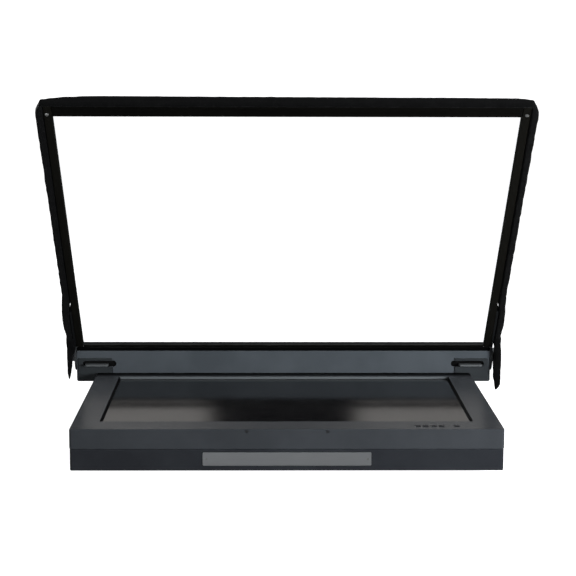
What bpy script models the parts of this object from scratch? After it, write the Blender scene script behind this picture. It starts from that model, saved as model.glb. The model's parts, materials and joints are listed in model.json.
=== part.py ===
"""Studio teleprompter: a flat screen that lies face up, and a hinged beam-splitter glass leaning over it.

Frame: metres, +X to the right as the presenter sees it, +Y away from the presenter, +Z up.
Origin: centre of the mounting shoe's underside, which is level with the rubber feet.
The glass frame turns about the pivot bolts in the ends of the crossbar and is drawn folded flat, inside an
empty on that axis; the empty is then turned up to the working angle.
"""

from math import asin, cos, degrees, pi, radians, sin

import bmesh
import bpy
from mathutils import Vector

# ---------------------------------------------------------------- driving dimensions

GAP = 0.0003                     # running gap between pieces that touch
ROOT = 0.0010                    # how far fused details reach into the body that carries them

SCREEN_W = 0.5184                # 24-inch 16:10 picture area
SCREEN_D = 0.3240
SCREEN_Y = 0.0082                # the picture sits a little behind the housing's middle
SCREEN_RECESS = 0.0035           # screen surface below the bezel

HOUSING_W = 0.6085
HOUSING_D = 0.4132
HOUSING_H = 0.0593
BEZEL_H = 0.0285                 # height of the upper shell
SHELL_STEP = 0.0005              # the lower housing is this much smaller on every side
WALL = 0.0020
CORNER_R = 0.0035
EDGE = 0.0008
OPEN_TOP_LOW = (-0.2660, -0.1566)      # corners of the screen opening at the bezel's face
OPEN_TOP_HIGH = (0.2660, 0.1740)
OPEN_SLOPE = (0.0030, 0.0022)          # how far the sloped walls lead in, across and front to back
FRONT_SCREW_X = 0.0565
FRONT_SCREW_DROP = 0.0032
HEAD_R = 0.0022
VENT_ROWS = (-0.1050, 0.1050)
VENT_COUNT = 9
VENT_START = 0.0900
VENT_PITCH = 0.0160
VENT_HALF = (0.0020, 0.0200)     # half the width and half the length of a vent slot

PANEL_MARGIN = 0.0090            # the panel's border beyond the picture area
PANEL_T = 0.0020
BACKLIGHT_T = 0.0100
CHASSIS_INSET = 0.0030
SHEET_T = 0.0015
BOARD_T = 0.0016
BOARD_Z = 0.0200
BOARD_LEG_R = 0.0030
BOARD_LEG_INSET = 0.0060

REAR_WINDOW_X = 0.1120           # half the width of the window for the connector plate
REAR_WINDOW_Z = (0.0165, 0.0365)
HDMI_X = 0.0250
HDMI_SHELL = (0.0180, 0.0080)    # width and height
HDMI_WALL = 0.0014
HDMI_REACH = 0.0120              # how far the socket's body reaches in behind the plate
HDMI_WELL = 0.0080
HDMI_PROUD = 0.0008
VGA_X = -0.0250
VGA_FLANGE = (0.0310, 0.0125)    # hole in the plate for the plug's shell
VGA_TOP = 0.0120                 # half widths of the D-shaped shell, and its half height and corner
VGA_FOOT = 0.0110
VGA_HALF_H = 0.0025
VGA_REACH = 0.0100
VGA_PROUD = 0.0045
BNC_X = (-0.0900, -0.0650)
BNC_HOLE_R = 0.0048
BNC_BODY_R = 0.0045
BNC_NOSE_R = 0.0042
BNC_REACH = 0.0100
BNC_NOSE = 0.0140
DC_X = 0.0850
DC_HOLE_R = 0.0060
DC_BODY_R = 0.0057
DC_BORE_R = 0.0033
DC_BORE_DEPTH = 0.0095
DC_REACH = 0.0120
DC_PROUD = 0.0020

BASE_H = 0.0112                  # feet and shoe hold the housing this high
SHOE_W = 0.0500
SHOE_L = 0.3000
SHOE_LEAD = 0.0035               # how far the shoe narrows towards its underside
SHOE_LIP = 0.45                  # share of the shoe's height that is sloped
SHOE_SCREW_Y = (-0.0450, 0.0450)
SHOE_SCREW_R = 0.0026
SHOE_HEAD_R = 0.0048
SHOE_HEAD_T = 0.0040
SHOE_HEAD_SUNK = 0.0006
SHOE_WELL_R = 0.0052
MOUNT_PLATE = 0.1200
MOUNT_PLATE_T = 0.0040
MOUNT_PLATE_CORNER = 0.0050
FOOT_R = 0.0100
FOOT_X = 0.2450
FOOT_Y = 0.1420
FOOT_CHAMFER = 0.0015

BUTTON_X = (0.1845, 0.1955, 0.2070, 0.2180, 0.2390)   # four menu buttons, then the power button
BUTTON_Y = -0.1874
BUTTON_W = 0.0074
BUTTON_D = 0.0056
BUTTON_PROUD = 0.0011
BUTTON_TRAVEL = 0.0010
BUTTON_EDGE = 0.0004
BUTTON_COLLAR = 0.0010           # how far the collar that keeps the cap in reaches out, and its thickness
BUTTON_STEM = 0.0015             # half the stem's width
BUTTON_STEM_L = 0.0042
BUTTON_BOARD_DROP = 0.0080       # button board's top below the bezel's skin
BUTTON_BOARD_EDGE = (0.0050, 0.0060)
SWITCH_HALF = 0.0030
BOSS_X = (0.1740, 0.2510)
BOSS_R = 0.0030
BOSS_H = 0.0080

BAR_W = 0.6760                   # crossbar behind the housing, a folded channel open to the rear
BAR_D = 0.0430
BAR_H = 0.0504
BAR_T = 0.0025
BAR_END_T = 0.0030
BAR_GAP = 0.0040                 # between the housing's rear wall and the crossbar
BAR_RISE = 0.0357                # crossbar's top above the bezel
BAR_CORNER = 0.0030
SEAL_HALF = 0.3375
SEAL_Y = (0.0012, 0.0110)        # foam strip on the crossbar, behind its front edge
SEAL_H = 0.0052

BRACKET_X = 0.1950
BRACKET_HALF = 0.0320
BRACKET_T = BAR_GAP - 2 * GAP
BRACKET_LOW = 0.0185
BRACKET_REACH = 0.0400
BRACKET_SCREW_STEP = 0.0180
BRACKET_SCREW_Z = 0.0300
BRACKET_HEAD_T = 0.0025
BRACKET_HEAD_R = 0.0035
BRACKET_HEAD_TOP_R = 0.0028
SCREW_R = 0.0017

SLIDE_SLOT_X = (0.2735, 0.3280)  # slot in the crossbar's face, measured from the middle
SLIDE_SLOT_Z = (0.0095, 0.0197)  # above the bezel
SLIDE_TAB_X = (0.2865, 0.3237)
SLIDE_TAB_Z = (0.0118, 0.0150)
SLIDE_TAB_REACH = 0.0120         # how far the finger tab stands in front of the crossbar
SLIDE_TAB_CORNER = 0.0030
SLIDE_TAB_EDGE = 0.0004
SLIDE_BODY_LIP = 0.0030          # how far the slide's body overlaps the slot above and below
SLIDE_BODY_LEAD = 0.0040
SLIDE_BODY_T = 0.0057
TONGUE_Y = (0.0034, 0.0084)      # lock slide's tongue, behind the crossbar's face
TONGUE_HALF = 0.0027
GUIDE_X = (0.2805, 0.3345)
GUIDE_T = 0.0020
GUIDE_RISE = 0.0240
GUIDE_DROP = 0.0140
GUIDE_CORNER = 0.0025

PIVOT_RISE = 0.0260              # pivot bolts above the bezel
PIVOT_R = 0.0040
PIVOT_HOLE_R = 0.0043
PIVOT_HEAD_R = 0.0068
PIVOT_HEAD_T = 0.0040
PIVOT_IN_KNOB = 0.0035           # length of the bolt's end inside the knob
KNOB_R = 0.0117
KNOB_T = 0.0057
KNOB_LOBES = 6
KNOB_LOBE_H = 0.0009
KNOB_STEPS = 48
KNOB_BORE = 0.0039
STOP_RADIUS = 0.0165             # stop bolt's distance from the pivot
STOP_R = 0.0025
STOP_HEAD_R = 0.0042
STOP_HEAD_TOP_R = 0.0036
STOP_HEAD_T = 0.0020
STOP_NUT_T = 0.0030
STOP_SLOT_R = 0.0028
STOP_ANGLE = -20.0

GLASS_ANGLE = 47.0               # working angle of the glass above the screen
OPENING_W = 0.6536               # daylight opening of the glass frame
OPENING_H = 0.5257
OPENING_START = 0.0333           # from the pivot to the opening's lower edge
LEG_W = 0.01135
RAIL_LOW_W = 0.0063
RAIL_TOP_W = 0.0201
FRAME_T = 0.0080
FRAME_DROP = 0.0053              # frame's underside below the pivot axis, when folded flat
GLASS_T = 0.0030
GLASS_BITE = 0.0030              # how far the glass reaches into the frame
GROOVE_HALF = 0.0028
GROOVE_DEPTH = 0.0042
GASKET_LIP = 0.0010
CORNER_SCREW_R = 0.0012
CORNER_SCREW_IN = 0.0048         # corner screws, in from the frame's side and up from the opening
CORNER_SCREW_UP = 0.0040
CORNER_SCREW_L = 0.0036
CORNER_HEAD_R = 0.0030
CORNER_HEAD_TOP_R = 0.0020
CORNER_HEAD_T = 0.0012

HINGE_T = 0.0030
HINGE_R = 0.0255
HINGE_STRAP = 0.1200
HINGE_STRAP_W = 0.0170
HINGE_CORNER = 0.0050

SKIRT_T = 0.0080                 # thickness that the gathered cloth of the hood skirt takes up on the legs
SKIRT_TOP_T = 0.0035
SKIRT_W = 0.0210
SKIRT_MID = 0.0032               # middle of the band, above the pivot axis when folded flat
SKIRT_TOP_EDGE = 0.0010
SKIRT_START = 0.0500             # along the glass, where the loose ends leave the frame
SKIRT_TAIL_Y = 0.2045
SKIRT_TAIL_OUT = 0.0030          # how far the loose ends stand out from the band on the legs
SKIRT_BEND = (0.0380, 0.30, 0.90)      # height above the bezel, lean, and share of the band's width
SKIRT_TIP_SHARE = 0.75
SKIRT_TAIL_LEFT = -0.0060        # height of the loose ends' tips above the bezel
SKIRT_TAIL_RIGHT = -0.0240

# ---------------------------------------------------------------- places that follow from them

Z_BASE = BASE_H
Z_TOP = BASE_H + HOUSING_H
Z_SEAM = Z_TOP - BEZEL_H
Z_SCREEN = Z_TOP - SCREEN_RECESS - GAP
Y_REAR = HOUSING_D / 2
Y_BAR = Y_REAR + BAR_GAP
PIVOT = Vector((0.0, Y_BAR + BAR_D / 2, Z_TOP + PIVOT_RISE))
BAR_HALF = BAR_W / 2
OPENING_HALF = OPENING_W / 2
OPENING_END = OPENING_START + OPENING_H
FRAME_END = OPENING_END + RAIL_TOP_W
FRAME_START = OPENING_START - RAIL_LOW_W
FRAME_HALF = OPENING_HALF + LEG_W
GLASS_MID = FRAME_T / 2 - FRAME_DROP
CORNER_SCREW_X = FRAME_HALF - CORNER_SCREW_IN
CORNER_SCREW_S = OPENING_END + CORNER_SCREW_UP
HINGE_X = FRAME_HALF + GAP
SIDES = {"left": -1, "right": 1}

PAINT = ("black_paint", (0.030, 0.034, 0.038), 0.45, 0.0)
BAR_PAINT = ("crossbar_paint", (0.055, 0.064, 0.072), 0.42, 0.0)
ANODISED = ("black_anodised", (0.012, 0.012, 0.012), 0.40, 0.6)
STEEL = ("zinc_steel", (0.55, 0.55, 0.53), 0.35, 1.0)
SHEET = ("sheet_steel", (0.50, 0.51, 0.52), 0.40, 1.0)
RUBBER = ("rubber", (0.018, 0.018, 0.018), 0.80, 0.0)
PLASTIC = ("black_plastic", (0.020, 0.020, 0.021), 0.50, 0.0)
BOARD = ("circuit_board", (0.015, 0.120, 0.045), 0.45, 0.0)
SCREEN = ("screen", (0.010, 0.010, 0.012), 0.20, 0.0)
DIFFUSER = ("white_plastic", (0.75, 0.75, 0.73), 0.50, 0.0)
GLASS = ("beam_splitter", (0.85, 0.90, 0.90), 0.02, 0.0)
CLOTH = ("black_cloth", (0.008, 0.008, 0.009), 0.90, 0.0)
FOAM = ("black_foam", (0.010, 0.010, 0.010), 0.95, 0.0)


# ---------------------------------------------------------------- building tools

def clear_scene():
    for item in list(bpy.data.objects):
        bpy.data.objects.remove(item, do_unlink=True)


def material(look):
    name, colour, roughness, metallic = look
    made = bpy.data.materials.get(name)
    if made is None:
        made = bpy.data.materials.new(name)
        made.use_nodes = True
        shader = made.node_tree.nodes["Principled BSDF"]
        shader.inputs["Base Color"].default_value = (*colour, 1.0)
        shader.inputs["Roughness"].default_value = roughness
        shader.inputs["Metallic"].default_value = metallic
    return made


def add_object(name, bm, look, location=(0.0, 0.0, 0.0), parent=None):
    """Turn a bmesh into a named object with its material, faces pointing out."""
    bmesh.ops.recalc_face_normals(bm, faces=bm.faces)
    mesh = bpy.data.meshes.new(name)
    bm.to_mesh(mesh)
    bm.free()
    mesh.shade_smooth()
    mesh.set_sharp_from_angle(angle=radians(35))
    mesh.materials.append(material(look))
    item = bpy.data.objects.new(name, mesh)
    bpy.context.scene.collection.objects.link(item)
    item.location = location
    item.parent = parent
    return item


def middle(low, high):
    return Vector([(a + b) / 2 for a, b in zip(low, high)])


def add_box(bm, low, high, origin=(0.0, 0.0, 0.0)):
    """Add a box's eight corners and six faces to a bmesh and return its corners."""
    made = bmesh.ops.create_cube(bm, size=1.0)
    centre = middle(low, high) - Vector(origin)
    size = Vector([b - a for a, b in zip(low, high)])
    for vert in made["verts"]:
        vert.co = Vector([c * s for c, s in zip(vert.co, size)]) + centre
    return made["verts"]


def direction(edge):
    return (edge.verts[0].co - edge.verts[1].co).normalized()


def block(name, low, high, look, corner_r=0.0, corner_axis=2, edge=0.0, parent=None):
    """A box between two corners, with rounded corners along one axis and softened edges."""
    origin = middle(low, high)
    bm = bmesh.new()
    add_box(bm, low, high, origin)
    if corner_r:
        upright = [e for e in bm.edges if abs(direction(e)[corner_axis]) > 0.9]
        bmesh.ops.bevel(bm, geom=upright, offset=corner_r, segments=4, profile=0.5, affect="EDGES")
    item = add_object(name, bm, look, origin, parent)
    if edge:
        soften(item, edge)
    return item


def soften(item, width):
    bevel = item.modifiers.new("edges", "BEVEL")
    bevel.width = width
    bevel.segments = 1
    bevel.limit_method = "ANGLE"
    bevel.angle_limit = radians(40)


def prism(name, outline, axis, start, end, look, location=(0.0, 0.0, 0.0), parent=None):
    """A flat outline extruded along one axis; the outline's two numbers are the other two axes in order."""
    bm = bmesh.new()
    others = [i for i in range(3) if i != axis]
    verts = []
    for point in outline:
        place = [0.0, 0.0, 0.0]
        place[others[0]] = point[0]
        place[others[1]] = point[1]
        place[axis] = start
        verts.append(bm.verts.new(place))
    face = bm.faces.new(verts)
    grown = bmesh.ops.extrude_face_region(bm, geom=[face])
    for vert in [v for v in grown["geom"] if isinstance(v, bmesh.types.BMVert)]:
        vert.co[axis] = end
    return add_object(name, bm, look, location, parent)


def add_turned(bm, profile, steps=24, centre=(0.0, 0.0, 0.0), axis=0):
    """Add a turned solid: profile holds (place along the axis, radius) pairs from one end to the other."""
    others = [i for i in range(3) if i != axis]
    rings = []
    for along, radius in profile:
        ring = []
        for step in range(steps):
            angle = 2 * pi * step / steps
            place = list(centre)
            place[axis] += along
            place[others[0]] += radius * cos(angle)
            place[others[1]] += radius * sin(angle)
            ring.append(bm.verts.new(place))
        rings.append(ring)
    join_rings(bm, rings)


def join_rings(bm, rings):
    for lower, upper in zip(rings, rings[1:]):
        count = len(lower)
        for i in range(count):
            j = (i + 1) % count
            bm.faces.new((lower[i], lower[j], upper[j], upper[i]))
    bm.faces.new(rings[0][::-1])
    bm.faces.new(rings[-1])


def turned(name, profile, look, location, axis=0, steps=24, parent=None):
    bm = bmesh.new()
    add_turned(bm, profile, steps, axis=axis)
    return add_object(name, bm, look, location, parent)


def loft(name, rings, look, location=(0.0, 0.0, 0.0), parent=None):
    """A solid through a row of four-cornered sections."""
    bm = bmesh.new()
    join_rings(bm, [[bm.verts.new(corner) for corner in ring] for ring in rings])
    return add_object(name, bm, look, location, parent)


def tool(name, boxes=(), rounds=(), parent=None):
    """A hidden helper made of boxes and of rounds: (centre, axis, radius, half length)."""
    bm = bmesh.new()
    for low, high in boxes:
        add_box(bm, low, high)
    for centre, axis, radius, half in rounds:
        add_turned(bm, [(-half, radius), (half, radius)], 20, centre, axis)
    return hidden(add_object(name, bm, SHEET, parent=parent))


def hidden(item):
    item.hide_render = True
    item.display_type = "WIRE"
    return item


def combine(item, helper, operation):
    step = item.modifiers.new(helper.name, "BOOLEAN")
    step.operation = operation
    step.solver = "EXACT"
    step.object = helper


def cut(item, helper):
    combine(item, helper, "DIFFERENCE")


def fuse(item, helper):
    combine(item, helper, "UNION")


def mirrored(side, near, far):
    """Order two distances from the middle as low and high on one side."""
    return sorted((side * near, side * far))


def arc(centre, radius, start, end, steps):
    """Points along an arc, angles in degrees."""
    angles = [radians(start + (end - start) * i / steps) for i in range(steps + 1)]
    return [(centre[0] + radius * cos(a), centre[1] + radius * sin(a)) for a in angles]


# ---------------------------------------------------------------- monitor housing

def rect(low, high, z):
    return [(low[0], low[1], z), (high[0], low[1], z), (high[0], high[1], z), (low[0], high[1], z)]


def bezel_top_shell():
    half_w = HOUSING_W / 2
    shell = block("bezel_top_shell", (-half_w, -Y_REAR, Z_SEAM), (half_w, Y_REAR, Z_TOP), PAINT,
                  CORNER_R, edge=EDGE)
    z_skin = Z_TOP - SCREEN_RECESS
    inside = [((-half_w + WALL, -Y_REAR + WALL, Z_SEAM - WALL), (half_w - WALL, Y_REAR - WALL, z_skin))]
    cut(shell, tool("cut_bezel_inside", inside))
    fuse(shell, tool("add_button_bosses", rounds=[
        ((x, BUTTON_Y, z_skin + (ROOT - BOSS_H) / 2), 2, BOSS_R, (ROOT + BOSS_H) / 2) for x in BOSS_X]))
    low_in = (OPEN_TOP_LOW[0] + OPEN_SLOPE[0], OPEN_TOP_LOW[1] + OPEN_SLOPE[1])
    high_in = (OPEN_TOP_HIGH[0] - OPEN_SLOPE[0], OPEN_TOP_HIGH[1] - OPEN_SLOPE[1])
    opening = loft("cut_screen_opening", [
        rect(low_in, high_in, z_skin - WALL),
        rect(low_in, high_in, z_skin),
        rect(OPEN_TOP_LOW, OPEN_TOP_HIGH, Z_TOP),
        rect(OPEN_TOP_LOW, OPEN_TOP_HIGH, Z_TOP + WALL)], SHEET)
    cut(shell, hidden(opening))
    clear = [((x - BUTTON_W / 2 - GAP, BUTTON_Y - BUTTON_D / 2 - GAP, z_skin - WALL),
              (x + BUTTON_W / 2 + GAP, BUTTON_Y + BUTTON_D / 2 + GAP, Z_TOP + WALL)) for x in BUTTON_X]
    screws = [((side * FRONT_SCREW_X, -Y_REAR, Z_TOP - FRONT_SCREW_DROP), 1, HEAD_R + GAP, WALL / 2)
              for side in SIDES.values()]
    cut(shell, tool("cut_bezel_holes", clear, screws))


def front_screws():
    for side_name, side in SIDES.items():
        place = (side * FRONT_SCREW_X, -Y_REAR, Z_TOP - FRONT_SCREW_DROP)
        turned("front_screw_" + side_name, [(0.0, HEAD_R), (WALL / 2 - GAP, HEAD_R)], PLASTIC, place, axis=1,
               steps=16)


def lower_housing():
    half_w = HOUSING_W / 2 - SHELL_STEP
    half_d = Y_REAR - SHELL_STEP
    tray = block("lower_housing", (-half_w, -half_d, Z_BASE), (half_w, half_d, Z_SEAM - GAP), PAINT,
                 CORNER_R, edge=EDGE)
    inside = [((-half_w + WALL, -half_d + WALL, Z_BASE + WALL), (half_w - WALL, half_d - WALL, Z_TOP))]
    cut(tray, tool("cut_tray_inside", inside))
    window = [((-REAR_WINDOW_X, half_d - 2 * WALL, REAR_WINDOW_Z[0]),
               (REAR_WINDOW_X, Y_REAR, REAR_WINDOW_Z[1]))]
    vents = []
    across, along = VENT_HALF
    for row in VENT_ROWS:
        for side in SIDES.values():
            for i in range(VENT_COUNT):
                x = side * (VENT_START + VENT_PITCH * i)
                vents.append(((x - across, row - along, Z_BASE - WALL),
                              (x + across, row + along, Z_BASE + 2 * WALL)))
    holes = [((x, half_d, BRACKET_SCREW_Z), 1, SCREW_R + GAP, 2 * WALL) for x in bracket_screw_places()]
    cut(tray, tool("cut_tray_openings", window + vents, holes))


def bracket_screw_places():
    steps = (-BRACKET_SCREW_STEP, BRACKET_SCREW_STEP)
    return [side * (BRACKET_X + step) for side in SIDES.values() for step in steps]


# ---------------------------------------------------------------- screen and electronics

def screen_and_backlight():
    half_w = SCREEN_W / 2 + PANEL_MARGIN
    half_d = SCREEN_D / 2 + PANEL_MARGIN
    z = Z_SCREEN
    for name, thickness, look in (("lcd_panel", PANEL_T, SCREEN), ("backlight_unit", BACKLIGHT_T, DIFFUSER)):
        block(name, (-half_w, SCREEN_Y - half_d, z - thickness), (half_w, SCREEN_Y + half_d, z), look)
        z -= thickness + GAP
    half_w -= CHASSIS_INSET
    half_d -= CHASSIS_INSET
    chassis = block("panel_chassis", (-half_w, SCREEN_Y - half_d, Z_BASE + WALL + GAP),
                    (half_w, SCREEN_Y + half_d, z), SHEET)
    cut(chassis, tool("cut_chassis_inside", [
        ((-half_w + SHEET_T, SCREEN_Y - half_d + SHEET_T, Z_BASE),
         (half_w - SHEET_T, SCREEN_Y + half_d - SHEET_T, z - SHEET_T))]))


def circuit_board(name, low, high, parts):
    """A board on four short legs. Its larger components are (x, y, width, depth, height), in metres."""
    board = block(name, (*low, BOARD_Z), (*high, BOARD_Z + BOARD_T), BOARD)
    inset = BOARD_LEG_INSET
    leg_half = (BOARD_Z - Z_BASE - WALL - GAP) / 2 + BOARD_T / 4
    leg_z = Z_BASE + WALL + GAP + leg_half
    legs = [((x, y, leg_z), 2, BOARD_LEG_R, leg_half)
            for x in (low[0] + inset, high[0] - inset) for y in (low[1] + inset, high[1] - inset)]
    fuse(board, tool("add_" + name + "_legs", rounds=legs))
    top = BOARD_Z + BOARD_T / 2
    boxes = [((x - w / 2, y - d / 2, top), (x + w / 2, y + d / 2, top + h)) for x, y, w, d, h in parts]
    fuse(board, tool("add_" + name + "_parts", boxes))


def circuit_boards():
    circuit_board("controller_board", (-0.1400, -0.0200), (0.0200, 0.1000), [
        (-0.0800, 0.0300, 0.0350, 0.0350, 0.0060),
        (-0.0200, 0.0500, 0.0180, 0.0260, 0.0035),
        (-0.1150, 0.0700, 0.0140, 0.0140, 0.0100),
        (0.0000, 0.0050, 0.0120, 0.0160, 0.0080)])
    circuit_board("power_board", (0.0500, -0.0200), (0.1900, 0.1000), [
        (0.0900, 0.0500, 0.0420, 0.0380, 0.0240),
        (0.1400, 0.0700, 0.0060, 0.0440, 0.0260),
        (0.1600, 0.0100, 0.0180, 0.0180, 0.0220),
        (0.0700, 0.0000, 0.0240, 0.0140, 0.0160)])


def buttons():
    """Push buttons: a cap in the bezel, a collar that keeps it in, and a stem above the switch."""
    z_skin = Z_TOP - SCREEN_RECESS
    under = -SCREEN_RECESS - GAP
    stem_end = -SCREEN_RECESS - BUTTON_STEM_L
    board_z = z_skin - BUTTON_BOARD_DROP
    cap = (BUTTON_W / 2, BUTTON_D / 2)
    collar = (cap[0] + BUTTON_COLLAR, cap[1] + BUTTON_COLLAR)
    face = (cap[0] - BUTTON_EDGE, cap[1] - BUTTON_EDGE)
    stem = (BUTTON_STEM, BUTTON_STEM)
    sections = ((stem, stem_end), (stem, under - BUTTON_COLLAR), (collar, under - BUTTON_COLLAR),
                (collar, under), (cap, under), (cap, BUTTON_PROUD - BUTTON_EDGE), (face, BUTTON_PROUD))
    names = ["menu_button_%d" % (i + 1) for i in range(4)] + ["power_button"]
    for name, x in zip(names, BUTTON_X):
        loft(name, [rect((-a, -b), (a, b), z) for (a, b), z in sections], PLASTIC, (x, BUTTON_Y, Z_TOP))
    edge_x, edge_y = BUTTON_BOARD_EDGE
    low = (BOSS_X[0] - edge_x, BUTTON_Y - edge_y, board_z - BOARD_T - GAP)
    high = (BOSS_X[1] + edge_x, BUTTON_Y + edge_y, board_z - GAP)
    board = block("button_board", low, high, BOARD)
    switch_top = Z_TOP + stem_end - BUTTON_TRAVEL - GAP
    half = SWITCH_HALF
    switches = [((x - half, BUTTON_Y - half, board_z - BOARD_T / 2), (x + half, BUTTON_Y + half, switch_top))
                for x in BUTTON_X]
    fuse(board, tool("add_switches", switches))


# ---------------------------------------------------------------- connectors

def connector_plate():
    """The plate in the rear window and its sockets, each a body behind and a mouth in the plate."""
    y_plate = Y_REAR - SHELL_STEP - WALL
    z_mid = sum(REAR_WINDOW_Z) / 2
    plate = block("connector_plate", (-REAR_WINDOW_X + GAP, y_plate, REAR_WINDOW_Z[0] + GAP),
                  (REAR_WINDOW_X - GAP, y_plate + WALL, REAR_WINDOW_Z[1] - GAP), SHEET)
    round_sockets = [(DC_X, DC_HOLE_R)] + [(x, BNC_HOLE_R) for x in BNC_X]
    holes = [((x, y_plate, z_mid), 1, radius + GAP, 2 * WALL) for x, radius in round_sockets]
    windows = [((x - w / 2 - GAP, y_plate - WALL, z_mid - h / 2 - GAP),
                (x + w / 2 + GAP, Y_REAR, z_mid + h / 2 + GAP))
               for x, w, h in ((HDMI_X, *HDMI_SHELL), (VGA_X, *VGA_FLANGE))]
    cut(plate, tool("cut_plate_holes", windows, holes))

    half_w, half_h = HDMI_SHELL[0] / 2, HDMI_SHELL[1] / 2
    hdmi = block("hdmi_socket", (HDMI_X - half_w, y_plate - HDMI_REACH, z_mid - half_h),
                 (HDMI_X + half_w, y_plate + WALL + HDMI_PROUD, z_mid + half_h), STEEL)
    half_w -= HDMI_WALL
    half_h -= HDMI_WALL
    cut(hdmi, tool("cut_hdmi", [((HDMI_X - half_w, y_plate - HDMI_WELL, z_mid - half_h),
                                 (HDMI_X + half_w, Y_REAR + WALL, z_mid + half_h))]))
    r = VGA_HALF_H
    shell = arc((VGA_TOP, r), r, 0, 90, 3) + arc((-VGA_TOP, r), r, 90, 180, 3)
    shell += arc((-VGA_FOOT, -r), r, 180, 270, 3) + arc((VGA_FOOT, -r), r, 270, 360, 3)
    prism("vga_socket", shell, 1, -VGA_REACH, WALL + VGA_PROUD, STEEL, (VGA_X, y_plate, z_mid))
    bnc = [(-BNC_REACH, BNC_BODY_R), (WALL, BNC_BODY_R), (WALL, BNC_NOSE_R), (BNC_NOSE, BNC_NOSE_R)]
    for number, x in enumerate(BNC_X, 1):
        turned("bnc_socket_%d" % number, bnc, STEEL, (x, y_plate, z_mid), axis=1)
    barrel = [(-DC_REACH, DC_BODY_R), (WALL + DC_PROUD, DC_BODY_R)]
    jack = turned("dc_jack", barrel, PLASTIC, (DC_X, y_plate, z_mid), axis=1)
    cut(jack, tool("cut_jack", rounds=[((DC_X, y_plate + WALL, z_mid), 1, DC_BORE_R, DC_BORE_DEPTH)]))


# ---------------------------------------------------------------- base

def base():
    shoe_h = BASE_H - MOUNT_PLATE_T - 2 * GAP
    half = MOUNT_PLATE / 2
    plate = block("mount_plate", (-half, -half, shoe_h + GAP), (half, half, Z_BASE - GAP), SHEET,
                  MOUNT_PLATE_CORNER)
    hole_r = SHOE_SCREW_R + GAP
    cut(plate, tool("cut_mount_plate", rounds=[((0.0, y, Z_BASE), 2, hole_r, BASE_H) for y in SHOE_SCREW_Y]))
    side = SHOE_W / 2
    foot = side - SHOE_LEAD
    lip = shoe_h * SHOE_LIP
    outline = [(-foot, 0.0), (foot, 0.0), (side, lip), (side, shoe_h), (-side, shoe_h), (-side, lip)]
    shoe = prism("dovetail_shoe", outline, 1, -SHOE_L / 2, SHOE_L / 2, ANODISED)
    well = SHOE_HEAD_T + GAP
    cut(shoe, tool("cut_shoe_wells", rounds=[((0.0, y, 0.0), 2, SHOE_WELL_R, well) for y in SHOE_SCREW_Y]))
    cut(shoe, tool("cut_shoe_holes", rounds=[((0.0, y, shoe_h), 2, hole_r, shoe_h) for y in SHOE_SCREW_Y]))
    screw = [(SHOE_HEAD_SUNK, SHOE_HEAD_R), (SHOE_HEAD_T, SHOE_HEAD_R), (SHOE_HEAD_T, SHOE_SCREW_R),
             (Z_BASE - GAP, SHOE_SCREW_R)]
    for number, y in enumerate(SHOE_SCREW_Y, 1):
        turned("shoe_screw_%d" % number, screw, STEEL, (0.0, y, 0.0), axis=2)
    profile = [(0.0, FOOT_R - FOOT_CHAMFER), (FOOT_CHAMFER, FOOT_R), (Z_BASE - GAP, FOOT_R)]
    for front_name, front in (("front", -1), ("rear", 1)):
        for side_name, side in SIDES.items():
            turned("rubber_foot_%s_%s" % (front_name, side_name), profile, RUBBER,
                   (side * FOOT_X, front * FOOT_Y, 0.0), axis=2)


# ---------------------------------------------------------------- crossbar and its fittings

def crossbar():
    low = (-BAR_HALF, Y_BAR, Z_TOP + BAR_RISE - BAR_H)
    high = (BAR_HALF, Y_BAR + BAR_D, Z_TOP + BAR_RISE)
    bar = block("crossbar", low, high, BAR_PAINT, BAR_CORNER, corner_axis=1)
    inner = BAR_HALF - BAR_END_T
    hollow = [((-inner, Y_BAR + BAR_T, low[2] + BAR_T), (inner, Y_BAR + 2 * BAR_D, high[2] - BAR_T))]
    cut(bar, tool("cut_bar_channel", hollow))
    slots = []
    rounds = []
    z0, z1 = [Z_TOP + z for z in SLIDE_SLOT_Z]
    radius = (z1 - z0) / 2
    tongue_z = Z_TOP + sum(SLIDE_TAB_Z) / 2
    for side in SIDES.values():
        x0, x1 = mirrored(side, SLIDE_SLOT_X[0] + radius, SLIDE_SLOT_X[1] - radius)
        slots.append(((x0, Y_BAR - BAR_T, z0), (x1, Y_BAR + 2 * BAR_T, z1)))
        rounds += [((x, Y_BAR, (z0 + z1) / 2), 1, radius, 2 * BAR_T) for x in (x0, x1)]
        x0, x1 = mirrored(side, inner - BAR_END_T, BAR_HALF + BAR_END_T)
        slots.append(((x0, *tongue_hole(-1, tongue_z)), (x1, *tongue_hole(1, tongue_z))))
        end = side * BAR_HALF
        rounds.append(((end, PIVOT.y, PIVOT.z), 0, PIVOT_HOLE_R, 2 * BAR_END_T))
        rounds.append(((end, *stop_place()), 0, STOP_SLOT_R, 2 * BAR_END_T))
    cut(bar, tool("cut_bar_slots", slots))
    cut(bar, tool("cut_bar_holes", rounds=rounds))


def tongue_hole(sign, middle_z):
    y = Y_BAR + (TONGUE_Y[0] - GAP if sign < 0 else TONGUE_Y[1] + GAP)
    return y, middle_z + sign * (TONGUE_HALF + GAP)


def stop_place():
    angle = radians(STOP_ANGLE)
    return PIVOT.y + STOP_RADIUS * cos(angle), PIVOT.z + STOP_RADIUS * sin(angle)


def light_seal():
    """Foam strip along the crossbar's top that closes the gap under the glass frame."""
    z = Z_TOP + BAR_RISE + GAP
    block("light_seal_strip", (-SEAL_HALF, Y_BAR + SEAL_Y[0], z), (SEAL_HALF, Y_BAR + SEAL_Y[1], z + SEAL_H),
          FOAM, edge=EDGE)


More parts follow.
